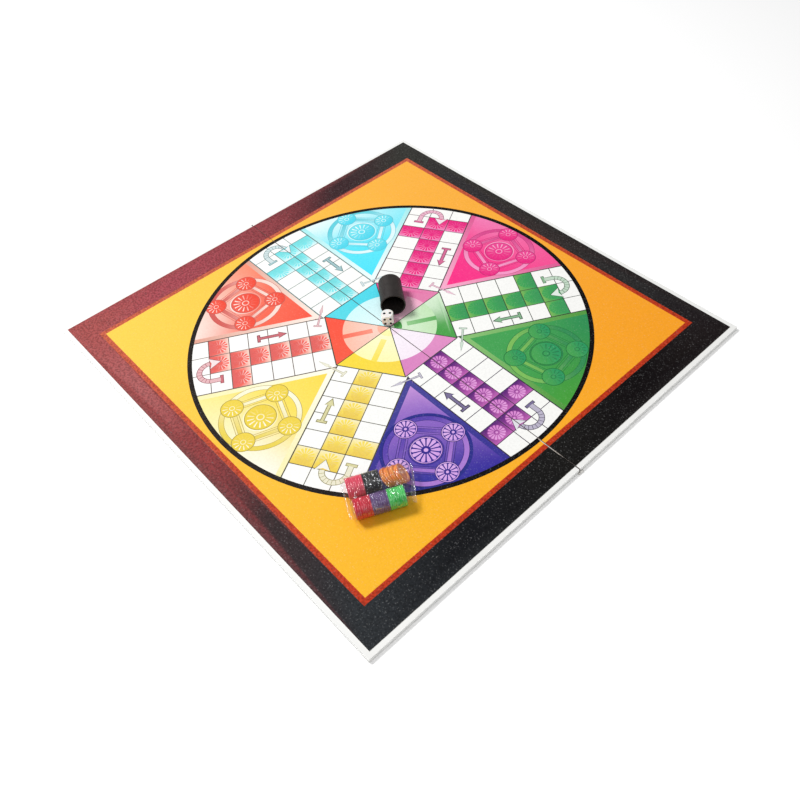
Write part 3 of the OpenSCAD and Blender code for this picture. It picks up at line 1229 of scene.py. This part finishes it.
@dataclass
class PrintedFace:
    """The laminated print of both leaves, each a thin sheet that carries its half of the artwork."""

    finish: PrintFinish = PrintFinish("laminated_print")
    paper: str = "f2efe8"
    fold_shade: float = 0.3

    def build(self) -> None:
        """Makes the two sheets, puts them on their leaves and reports them."""
        rear_low, rear_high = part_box("rear_print_sheet")
        art = Artwork(rear_high[0] / MM, rear_high[1] / MM, 2 * rear_low[1] / MM)
        art.compose()
        points, triangles, owners = art.mesh()
        log.info("artwork: %d shapes, %d triangles", len(art.shapes), len(triangles))
        material = self.finish.build()
        middles = [sum(points[i][1] for i in tri) for tri in triangles]
        for leaf, side in (("rear", 1), ("front", -1)):
            chosen = [k for k, middle in enumerate(middles) if middle * side > 0]
            cut = [(triangles[k], owners[k]) for k in chosen]
            name = f"{leaf}_print_sheet"
            piece = self.sheet(f"{leaf}_printed_face", points, cut, art, name, material)
            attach(piece, f"{leaf}_leaf")
            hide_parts(name)
            log.info("%s: %d faces", piece.name, len(piece.data.polygons))

    def sheet(
        self, name: str, points: list[Point], cut: list, art: Artwork, node: str, material: bpy.types.Material
    ) -> bpy.types.Object:
        """Makes one leaf's sheet with its walls and underside.

        Args:
            name: The piece's name.
            points: The print's points.
            cut: The triangles with the shapes that show on them.
            art: The artwork, for its inks.
            node: The CAD node whose height it takes.
            material: The finish.

        Returns:
            The sheet.
        """
        low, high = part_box(node)
        used = sorted({i for tri, _ in cut for i in tri})
        number = {old: new for new, old in enumerate(used)}
        verts = [(points[i][0] * MM, points[i][1] * MM, high[2]) for i in used]
        faces = []
        for tri, _ in cut:
            a, b, c = (Vector(points[i]) for i in tri)
            order = tri if (b - a).cross(c - a) > 0 else tri[::-1]
            faces.append([number[i] for i in order])
        edges = {(f[i], f[(i + 1) % 3]) for f in faces for i in range(3)}
        rim = [(a, b) for a, b in edges if (b, a) not in edges]
        following = dict(rim)
        loop = [rim[0][0]]
        while following[loop[-1]] != loop[0]:
            loop.append(following[loop[-1]])
        under = {old: len(verts) + k for k, old in enumerate(loop)}
        verts += [(verts[i][0], verts[i][1], low[2]) for i in loop]
        walls = [[b, a, under[a], under[b]] for a, b in rim]
        piece = new_piece(name, verts, faces + walls + [[under[i] for i in reversed(loop)]], material)
        layer = piece.data.color_attributes.new("ink", "FLOAT_COLOR", "CORNER")
        colours: list[float] = []
        for face, (tri, owner) in zip(faces, cut):
            wash = art.shapes[owner][1]
            for i in face:
                colours += [*wash.colour(points[used[i]]), 1.0]
        over = {i: colours[4 * k : 4 * k + 3] for k, i in enumerate(i for face in faces for i in face)}
        paper = [*linear(self.paper), 1.0]
        for face in [*walls, loop]:
            if face is not loop and all(abs(verts[i][1]) < art.fold_gap * MM for i in face):
                colours += [*(self.fold_shade * c for c in over[face[0]]), 1.0] * len(face)
            else:
                colours += paper * len(face)
        layer.data.foreach_set("color", colours)
        return piece


@dataclass
class BoardPapers:
    """Core boards, white wraps and back liners of both leaves."""

    core: PaperFinish = PaperFinish("greyboard", "9a8f80", "7c7264", fibre_depth=0.05, roughness=0.8)
    # the wrap carries painted shade along the fold gap
    wrap: PaperFinish = PaperFinish(
        "white_wrap", "f7f7f5", "e2e0da", fibre_depth=0.012, roughness=0.45, stain_share=0.35, fold_gap_shade=0.92
    )
    liner: PaperFinish = PaperFinish("back_liner", "ebeae6", "d2cfc6", fibre_depth=0.03, roughness=0.7)

    def dress(self, nodes: dict[str, bpy.types.Object]) -> None:
        """Gives each paper node its finish.

        Args:
            nodes: The frame's nodes.
        """
        for part, finish in (("core_board", self.core), ("wrap", self.wrap), ("back_liner", self.liner)):
            material = finish.build()
            for leaf in ("rear", "front"):
                cover(nodes[f"{leaf}_{part}"], material)
                log.info("%s_%s: dressed", leaf, part)


def cover(node: bpy.types.Object, material: bpy.types.Material) -> None:
    """Puts one material in a CAD node's slots.

    Args:
        node: The node's object.
        material: The finish.
    """
    if not node.material_slots:
        node.data.materials.append(material)
    for slot in node.material_slots:
        slot.material = material


@dataclass
class HingeTape:
    """The cloth tape under the fold, whose ends stick out past the board and curl up."""

    half_length: float
    half_width: float
    thickness: float = 0.26
    clear: float = 0.02
    steps: int = 96
    length_share: float = 0.9996
    near_rows: tuple[float, ...] = (0.15, 0.35, 0.6, 1.0, 1.6, 2.2)
    far_rows: tuple[float, ...] = (5.0, 8.0, 12.0)
    end_half: float = 2.9
    end_length: float = 4.0
    curl_start: float = 1.45
    curl_r: float = 0.72
    curl_step: float = 26.0
    curl_rows: int = 10
    finish: ClothFinish = ClothFinish("hinge_cloth", "eceae6", "cfccc6")

    @property
    def level(self) -> float:
        """Gives the height of the cloth's middle under the board."""
        return self.clear + self.thickness / 2

    def rows(self) -> list[float]:
        """Gives the places of the tape's rows across the fold, closer together at the fold."""
        side = (*self.near_rows, self.end_half, *self.far_rows, self.half_width)
        return [-v for v in reversed(side)] + [0.0] + list(side)

    def curl(self, side: int) -> list[Point]:
        """Gives the line of a curled end, from the board's end outwards.

        Args:
            side: 1 for the right end, -1 for the left.

        Returns:
            Places along the board with heights.
        """
        level, reach = self.level, self.half_length + self.curl_start
        turns = (math.radians(-90 + self.curl_step * i) for i in range(self.curl_rows))
        bend = [(reach + self.curl_r * math.cos(a), level + self.curl_r * (1 + math.sin(a))) for a in turns]
        return [(side * x, z) for x, z in [(self.half_length + 0.5, level), *bend]]

    def build(self) -> bpy.types.Object:
        """Returns:
            The tape.
        """
        level, rows, steps = self.level, self.rows(), self.steps
        columns = [self.half_length * (-1 + 2 * i / steps) * self.length_share for i in range(steps + 1)]
        index: dict[tuple, int] = {}
        verts: list[tuple] = []
        faces: list[list[int]] = []

        def number(x: float, y: float, z: float) -> int:
            """Gives the number of a point, which is made once."""
            key = (round(x, 3), round(y, 3), round(z, 3))
            if key not in index:
                index[key] = len(verts)
                verts.append((x * MM, y * MM, z * MM))
            return index[key]

        def weave(line: list[Point], across: list[float], flip: bool) -> None:
            """Makes the faces between the rows along a line of places and heights."""
            for (x0, z0), (x1, z1) in zip(line, line[1:]):
                for y0, y1 in zip(across, across[1:]):
                    face = [number(x0, y0, z0), number(x1, y0, z1), number(x1, y1, z1), number(x0, y1, z0)]
                    faces.append(face[::-1] if flip else face)

        weave([(x, level) for x in columns], rows, False)
        ends = [y for y in rows if abs(y) <= self.end_half]
        for side in (-1, 1):
            weave([(columns[0] if side < 0 else columns[-1], level), *self.curl(side)], ends, side < 0)
        piece = new_piece("hinge_tape_cloth", verts, faces, self.finish.build())
        solid = piece.modifiers.new("thickness", "SOLIDIFY")
        solid.thickness = self.thickness * MM
        solid.offset = 0.0
        apply_modifiers(piece)
        smooth(piece)
        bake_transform(piece)
        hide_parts("rear_hinge_tape", "front_hinge_tape")
        log.info("%s: %d faces", piece.name, len(piece.data.polygons))
        return piece


def apply_modifiers(piece: bpy.types.Object) -> None:
    """Turns a piece with modifiers into a plain mesh.

    Args:
        piece: The piece, which keeps its name and material.
    """
    bpy.context.view_layer.update()
    seen = piece.evaluated_get(bpy.context.evaluated_depsgraph_get())
    plain = bpy.data.meshes.new_from_object(seen)
    piece.modifiers.clear()
    piece.data = plain


class PipStyle(Enum):
    """How the marks of the die are finished."""

    PAINTED = "painted"
    BARE = "bare"


@dataclass
class Scatter:
    """A node tree that puts a small mesh on every point of a mesh, along each point's aim."""

    name: str
    sides: int
    rings: int

    def tree(self, material: bpy.types.Material) -> bpy.types.NodeTree:
        """Builds the tree of a shallow round cap on each point.

        Args:
            material: The finish of the caps.

        Returns:
            The node tree, with inputs Radius and Rise.
        """
        tree = bpy.data.node_groups.new(self.name, "GeometryNodeTree")
        tree.interface.new_socket("Geometry", in_out="INPUT", socket_type="NodeSocketGeometry")
        for name in ("Radius", "Rise"):
            socket = tree.interface.new_socket(name, in_out="INPUT", socket_type="NodeSocketFloat")
            socket.subtype = "DISTANCE"
        tree.interface.new_socket("Geometry", in_out="OUTPUT", socket_type="NodeSocketGeometry")
        nodes, links = tree.nodes, tree.links
        start, end = nodes.new("NodeGroupInput"), nodes.new("NodeGroupOutput")
        cap = nodes.new("GeometryNodeMeshUVSphere")
        cap.inputs["Segments"].default_value = self.sides
        cap.inputs["Rings"].default_value = self.rings
        links.new(start.outputs["Radius"], cap.inputs["Radius"])
        flatten = nodes.new("ShaderNodeMath")
        flatten.operation = "DIVIDE"
        links.new(start.outputs["Rise"], flatten.inputs[0])
        links.new(start.outputs["Radius"], flatten.inputs[1])
        scale = nodes.new("ShaderNodeCombineXYZ")
        scale.inputs["X"].default_value = scale.inputs["Y"].default_value = 1.0
        links.new(flatten.outputs[0], scale.inputs["Z"])
        aim = nodes.new("GeometryNodeInputNamedAttribute")
        aim.data_type = "FLOAT_VECTOR"
        aim.inputs["Name"].default_value = "aim"
        align = nodes.new("FunctionNodeAlignRotationToVector")
        align.axis = "Z"
        links.new(aim.outputs["Attribute"], align.inputs["Vector"])
        place = nodes.new("GeometryNodeInstanceOnPoints")
        links.new(start.outputs["Geometry"], place.inputs["Points"])
        links.new(cap.outputs["Mesh"], place.inputs["Instance"])
        links.new(align.outputs["Rotation"], place.inputs["Rotation"])
        links.new(scale.outputs["Vector"], place.inputs["Scale"])
        real = nodes.new("GeometryNodeRealizeInstances")
        finish = nodes.new("GeometryNodeSetMaterial")
        finish.inputs["Material"].default_value = material
        links.new(place.outputs["Instances"], real.inputs["Geometry"])
        links.new(real.outputs["Geometry"], finish.inputs["Geometry"])
        links.new(finish.outputs["Geometry"], end.inputs["Geometry"])
        return tree

    def run(
        self,
        name: str,
        places: list[tuple[Vector, Vector]],
        material: bpy.types.Material,
        radius: float,
        rise: float,
    ) -> bpy.types.Object:
        """Makes the caps as one plain mesh.

        Args:
            name: The piece's name.
            places: Each point with its aim, in metres.
            material: The finish of the caps.
            radius: The caps' radius in millimetres.
            rise: Half the caps' thickness in millimetres.

        Returns:
            The piece.
        """
        piece = new_piece(name, [p for p, _ in places], [], material)
        aims = piece.data.attributes.new("aim", "FLOAT_VECTOR", "POINT")
        aims.data.foreach_set("vector", [c for _, aim in places for c in aim])
        tree = self.tree(material)
        modifier = piece.modifiers.new("scatter", "NODES")
        modifier.node_group = tree
        sizes = {"Radius": radius * MM, "Rise": rise * MM}
        for item in tree.interface.items_tree:
            if item.item_type == "SOCKET" and item.in_out == "INPUT" and item.name in sizes:
                modifier[item.identifier] = sizes[item.name]
        apply_modifiers(piece)
        smooth(piece)
        return piece


@dataclass
class Die:
    """The white die and the black paint in its hollow pips."""

    edge: float = 12.0
    turn: float = 50.0
    paint_depth: float = 0.04
    paint_r: float = 1.55
    paint_rise: float = 0.1
    pitch: float = 2.9
    style: PipStyle = PipStyle.PAINTED
    body: MouldedFinish = MouldedFinish(
        "die_plastic", "fbf9f6", "f4eee8", roughness=0.22, glow=0.15, scuff=0.06
    )
    paint: MouldedFinish = MouldedFinish("pip_paint", "0c0b0b", "161414", roughness=0.35, specular=0.4)

    SIDES = (
        (4, (0, -1, 0), (1, 0, 0), (0, 0, 1)), (1, (1, 0, 0), (0, 1, 0), (0, 0, 1)),
        (3, (0, 1, 0), (-1, 0, 0), (0, 0, 1)), (6, (-1, 0, 0), (0, -1, 0), (0, 0, 1)),
        (2, (0, 0, 1), (1, 0, 0), (0, 1, 0)), (5, (0, 0, -1), (1, 0, 0), (0, -1, 0)),
    )
    MARKS = {
        1: ((0, 0),), 2: ((-1, 0), (1, 0)), 3: ((-1, -1), (0, 0), (1, 1)),
        4: ((-1, -1), (-1, 1), (1, -1), (1, 1)), 5: ((-1, -1), (-1, 1), (0, 0), (1, -1), (1, 1)),
        6: ((-1, -1), (-1, 0), (-1, 1), (1, -1), (1, 0), (1, 1)),
    }

    def places(self, centre: Vector) -> list[tuple[Vector, Vector]]:
        """Gives each pip's point and the way that its side looks.

        Args:
            centre: The die's centre, in metres.

        Returns:
            The points with their aims.
        """
        turn = Matrix.Rotation(math.radians(self.turn), 3, "Z")
        made = []
        for count, out, right, up in self.SIDES:
            for a, b in self.MARKS[count]:
                on_side = (Vector(right) * a + Vector(up) * b) * self.pitch
                offset = Vector(out) * (self.edge / 2 - self.paint_depth) + on_side
                made.append((centre + turn @ offset * MM, turn @ Vector(out)))
        return made

    def build(self, nodes: dict[str, bpy.types.Object]) -> None:
        """Dresses the die and fills its pips with paint.

        Args:
            nodes: The frame's nodes.
        """
        cover(nodes["die"], self.body.build())
        low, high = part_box("die")
        if self.style is PipStyle.PAINTED:
            centre = (Vector(low) + Vector(high)) / 2
            scatter, paint = Scatter("pips", 20, 10), self.paint.build()
            pips = scatter.run("die_pips", self.places(centre), paint, self.paint_r, self.paint_rise)
            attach(pips, "die")
            log.info("%s: %d faces", pips.name, len(pips.data.polygons))


@dataclass
class DiceCup:
    """The black cup that lies on its side with its mouth to the die."""

    finish: MouldedFinish = MouldedFinish(
        "cup_plastic", "2a2524", "342f2d", roughness=0.5, specular=0.3, scuff=0.14
    )

    def dress(self, nodes: dict[str, bpy.types.Object]) -> None:
        """Gives the cup its finish."""
        cover(nodes["dice_cup"], self.finish.build())
        log.info("dice_cup: dressed")


TOKEN_INKS = {
    "red": ("c4122a", "e0304a"),
    "purple": ("553a70", "74588f"),
    "green": ("2cbe4c", "66dc7c"),
    "pink": ("e03a58", "f06a84"),
    "black": ("141518", "26282c"),
    "orange": ("ec7c24", "f7a856"),
}


@dataclass
class TokenPack:
    """The film bag around two rows of tokens, in its own frame: s along the rows, w to the rear row."""

    half_length: float = 250.0
    half_width: float = 240.0
    from_end: float = 103.0
    from_front: float = 73.0
    turn: float = 64.0
    row_pitch: float = 22.5
    row_z: float = 14.2
    film_r: float = 9.52
    start: float = -1.6
    end: float = 53.4
    end_front: float = 45.8
    cap: tuple[Point, ...] = (
        (0.0, 1.0), (0.5, 0.97), (1.1, 0.86), (1.7, 0.66), (2.3, 0.4), (2.9, 0.16), (3.4, 0.04),
    )
    fin: float = 3.8
    fin_left: float = 2.6
    fin_half: float = 19.2
    fin_rows: int = 5
    around: int = 120
    steps: int = 130
    rib_pitch: float = 3.6
    lowest: float = 4.62
    film: FilmFinish = FilmFinish("bag_film")

    def place(self, s: float, w: float, z: float) -> Vector:
        """Gives the frame's point for a place in the bag.

        Args:
            s: Place along the rows.
            w: Place across them.
            z: Height.

        Returns:
            The point in metres.
        """
        a = math.radians(self.turn)
        x = self.half_length - self.from_end + s * math.cos(a) - w * math.sin(a)
        y = -self.half_width + self.from_front + s * math.sin(a) + w * math.cos(a)
        return Vector((x, y, z)) * MM

    def section(self, share: float) -> tuple[float, float, float, float]:
        """Gives a place on the section's outline and the way out of it.

        Args:
            share: Place round the outline, from 0 to 1.

        Returns:
            Place across, height above the rows' centre, and the outward direction across and up.
        """
        r, flat = self.film_r, self.row_pitch
        total = 2 * flat + 2 * math.pi * r
        d = (share % 1) * total
        if d < flat:
            return d, -r, 0.0, -1.0
        d -= flat
        if d < math.pi * r:
            a = -math.pi / 2 + d / r
            return flat + r * math.cos(a), r * math.sin(a), math.cos(a), math.sin(a)
        d -= math.pi * r
        if d < flat:
            return flat - d, r, 0.0, 1.0
        a = math.pi / 2 + (d - flat) / r
        return r * math.cos(a), r * math.sin(a), math.cos(a), math.sin(a)

    def ridge(self, s: float, share: float) -> float:
        """Gives how strongly the film is creased at a place, from 0 to 1.

        Args:
            s: Place along the rows.
            share: Place round the outline.

        Returns:
            The crease's strength.
        """
        a = 2 * math.pi * share
        round_x, round_y = 2.4 * math.cos(a), 2.4 * math.sin(a)
        broad = rumple(s * 0.05, round_x, round_y)
        fine = rumple(s * 0.09 + 2.0 * broad, 1.3 * round_x, 1.3 * round_y + 7.0)
        return clamp(1 - abs(fine) * 7) ** 2 * clamp(0.35 + 1.6 * broad)

    def slant(self, s: float, w: float) -> float:
        """Moves a place along the rows so that the bag ends aslant, close to the shorter front row.

        Args:
            s: Place along a straight bag.
            w: Place across the rows.

        Returns:
            Place along the slanted bag.
        """
        end = self.end_front + (self.end - self.end_front) * ease(w / self.row_pitch)
        if s > self.end:
            return end + (s - self.end) * (1.0 if w < self.row_pitch / 2 else 0.7)
        if s < self.start:
            return self.start + (s - self.start) * self.fin_left / self.fin
        return self.start + (s - self.start) * (end - self.start) / (self.end - self.start)

    def stations(self) -> list[tuple[float, float]]:
        """Gives the places along the bag with how full it is there, from 1 to 0 at a fin."""
        steps, rows, cap_end = self.steps, self.fin_rows, self.cap[-1][0]
        flat = [(cap_end + (self.fin - 1.2) * i / rows, 0.0) for i in range(1, rows + 1)]
        ending = [*self.cap[1:], *flat]
        middle = [(self.start + (self.end - self.start) * i / steps, 1.0) for i in range(steps + 1)]
        left = [(self.start - d, full) for d, full in reversed(ending)]
        right = [(self.end + d, full) for d, full in ending]
        return left + middle + right

    def swelling(self, s: float, share: float, crease: float) -> float:
        """Gives how far the film stands out from its plain section.

        Args:
            s: Place along the rows.
            share: Place round the outline.
            crease: The crease's strength there.

        Returns:
            The way outwards.
        """
        a = 2 * math.pi * share
        broad = max(rumple(s * 0.13, 3 * math.cos(a), 3 * math.sin(a) + 11), 0.0)
        rib = math.cos(2 * math.pi * (s - self.start) / self.rib_pitch)
        return 0.2 * crease + 0.7 * broad + 0.15 * rib * clamp(1 - 2.2 * broad)

    def point(self, s: float, full: float, share: float) -> tuple[Vector, float]:
        """Gives a point of the film and how strongly it is creased there.

        Args:
            s: Place along a straight bag.
            full: How full the bag is there, from 0 to 1.
            share: Place round the outline.

        Returns:
            The point in metres and the crease's strength.
        """
        w, h, dw, dh = self.section(share)
        crease = self.ridge(s, share)
        swell = self.swelling(s, share, crease)
        if dw == 0.0 and full == 1.0:
            between = math.sin(math.pi * w / self.row_pitch)
            dent = 1.5 if dh > 0 else 0.15
            swell -= dent * between**2 * (0.8 + 0.4 * rumple(s * 0.1, w * 0.1, 3))
        centre_w = self.row_pitch / 2
        side = (w - centre_w) / (centre_w + self.film_r)
        squeeze = self.fin_half / (centre_w + self.film_r)
        end_side = 1 if s > (self.start + self.end) / 2 else -1
        out = max(self.start - s, s - self.end, 0.0)
        pleat = 0.9 * math.sin(9.0 * side + 2.0 * rumple(w * 0.12, s * 0.2, 5)) * (1 - full)
        droop = -0.5 * out * (0.6 - 0.6 * side * end_side) * (1 - full)
        thick = 0.16 * (1 if h > 0 else -1) * (1 - full)
        w_now = centre_w + (w - centre_w) * (squeeze + (1 - squeeze) * full) + dw * swell * full
        z_now = self.row_z + (h + dh * swell) * full + thick + pleat + droop
        if full < 1.0:
            crease = max(crease, 0.16 + 0.5 * rumple(w * 0.5, s, 1))
        return self.place(self.slant(s, w), w_now, max(z_now, self.lowest)), clamp(crease)

    def faces(self, rows: int) -> list[list[int]]:
        """Joins the rings of points and closes the film at both ends.

        Args:
            rows: How many rings there are.

        Returns:
            The faces as lists of point numbers.
        """
        n = self.around
        made = [
            [r * n + i, r * n + (i + 1) % n, (r + 1) * n + (i + 1) % n, (r + 1) * n + i]
            for r in range(rows - 1) for i in range(n)
        ]
        for base, flip in ((0, True), ((rows - 1) * n, False)):
            for i in range(n // 2 - 1):
                quad = [base + i, base + i + 1, base + n - 2 - i, base + n - 1 - i]
                made.append(quad[::-1] if flip else quad)
        return made

    def build(self) -> None:
        """Makes the film around the tokens, closed and crumpled at its fins."""
        stations = self.stations()
        shares = [i / self.around for i in range(self.around)]
        points = [self.point(s, full, share) for s, full in stations for share in shares]
        faces = self.faces(len(stations))
        piece = new_piece("token_bag_film", [place for place, _ in points], faces, self.film.build())
        layer = piece.data.attributes.new("crease", "FLOAT", "POINT")
        layer.data.foreach_set("value", [crease for _, crease in points])
        smooth(piece)
        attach(piece, "token_pack")
        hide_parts("token_bag")
        log.info("%s: %d faces", piece.name, len(piece.data.polygons))

    def dress(self, nodes: dict[str, bpy.types.Object]) -> None:
        """Gives the tokens of each colour their finish.

        Args:
            nodes: The frame's nodes.
        """
        for colour, (ink, flow) in TOKEN_INKS.items():
            name = f"{colour}_token_plastic"
            material = MouldedFinish(name, ink, flow, roughness=0.25, scuff=0.08).build()
            for k in range(1, 5):
                cover(nodes[f"{colour}_token_{k}"], material)
            log.info("%s tokens: dressed", colour)


@dataclass(frozen=True)
class Lamp:
    """A soft square lamp that looks at the board, in metres and watts."""

    name: str
    place: tuple[float, float, float]
    size: float
    power: float

    def hang(self) -> None:
        """Puts the lamp into the scene."""
        data = bpy.data.lights.new(self.name, "AREA")
        data.size, data.energy = self.size, self.power
        lamp = bpy.data.objects.new(self.name, data)
        lamp.location = self.place
        lamp.rotation_mode = "QUATERNION"
        lamp.rotation_quaternion = (-Vector(self.place)).to_track_quat("-Z", "Y")
        bpy.context.scene.collection.objects.link(lamp)


@dataclass
class Studio:
    """Camera, pale floor and soft lamps."""

    eye: Vector = field(default_factory=lambda: Vector((477.3, -337.0, 576.6)) * MM)
    aim: Vector = field(default_factory=lambda: Vector((112.93, -20.44, 4.4)) * MM)
    roll: float = -3.945
    lens: float = 35.91
    shift_x: float = -0.0667
    shift_y: float = -0.0021
    sky: float = 0.35
    floor_half: float = 6.0
    floor_level: float = -0.0001
    floor_lift: float = 0.18
    lamps: tuple[Lamp, ...] = (
        Lamp("key", (-1.15, -0.55, 1.95), 0.65, 42.0),
        Lamp("fill", (1.2, -0.6, 1.9), 0.8, 9.0),
    )

    def camera(self) -> None:
        """Makes the camera at the photographed view."""
        data = bpy.data.cameras.new("camera")
        data.lens, data.sensor_width = self.lens, 36.0
        data.shift_x, data.shift_y = self.shift_x, self.shift_y
        data.clip_start, data.clip_end = 0.01, 20.0
        camera = bpy.data.objects.new("camera", data)
        bpy.context.scene.collection.objects.link(camera)
        camera.location = self.eye
        camera.rotation_mode = "QUATERNION"
        look = (self.aim - self.eye).to_track_quat("-Z", "Y")
        camera.rotation_quaternion = look @ Quaternion((0, 0, 1), math.radians(self.roll))
        bpy.context.scene.camera = camera

    def floor(self) -> None:
        """Makes the pale floor."""
        bench = Bench("floor")
        bench.set(Base_Color=linear("fbfbfb"), Roughness=0.9, Specular_IOR_Level=0.1)
        bench.set(Emission_Color=linear("ffffff"))
        seen = bench.node("ShaderNodeLightPath").outputs["Is Camera Ray"]
        bench.set(Emission_Strength=bench.spread(seen, (0.0, 0.0), (1.0, self.floor_lift)))
        size, level = self.floor_half, self.floor_level
        corners = [(-size, -size, level), (size, -size, level), (size, size, level), (-size, size, level)]
        new_piece("floor", corners, [(0, 1, 2, 3)], bench.material)

    def world(self) -> None:
        """Lights the scene evenly and shows a white background to the camera."""
        world = bpy.data.worlds.new("studio")
        bpy.context.scene.world = world
        world.use_nodes = True
        tree = world.node_tree
        tree.nodes.clear()
        output = tree.nodes.new("ShaderNodeOutputWorld")
        path = tree.nodes.new("ShaderNodeLightPath")
        mix = tree.nodes.new("ShaderNodeMixShader")
        fill, seen = tree.nodes.new("ShaderNodeBackground"), tree.nodes.new("ShaderNodeBackground")
        fill.inputs["Strength"].default_value = self.sky
        seen.inputs["Strength"].default_value = 1.0
        tree.links.new(path.outputs["Is Camera Ray"], mix.inputs["Fac"])
        tree.links.new(fill.outputs["Background"], mix.inputs[1])
        tree.links.new(seen.outputs["Background"], mix.inputs[2])
        tree.links.new(mix.outputs["Shader"], output.inputs["Surface"])

    def build(self) -> None:
        """Sets the floor, the lamps, the world and the view."""
        self.floor()
        for lamp in self.lamps:
            lamp.hang()
        self.world()
        bpy.context.scene.view_settings.view_transform = "Standard"


def main() -> None:
    """Builds the scene around the frame."""
    logging.basicConfig(level=logging.INFO, format="%(name)s: %(message)s")
    studio = Studio()
    studio.camera()
    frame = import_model()
    nodes = frame["nodes"]
    studio.build()
    BoardPapers().dress(nodes)
    PrintedFace().build()
    board_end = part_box("rear_core_board")[1][0] / MM
    tape_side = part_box("rear_hinge_tape")[1][1] / MM
    HingeTape(board_end, tape_side).build()
    DiceCup().dress(nodes)
    Die().build(nodes)
    pack = TokenPack()
    pack.dress(nodes)
    pack.build()


if __name__ == "__main__":
    main()
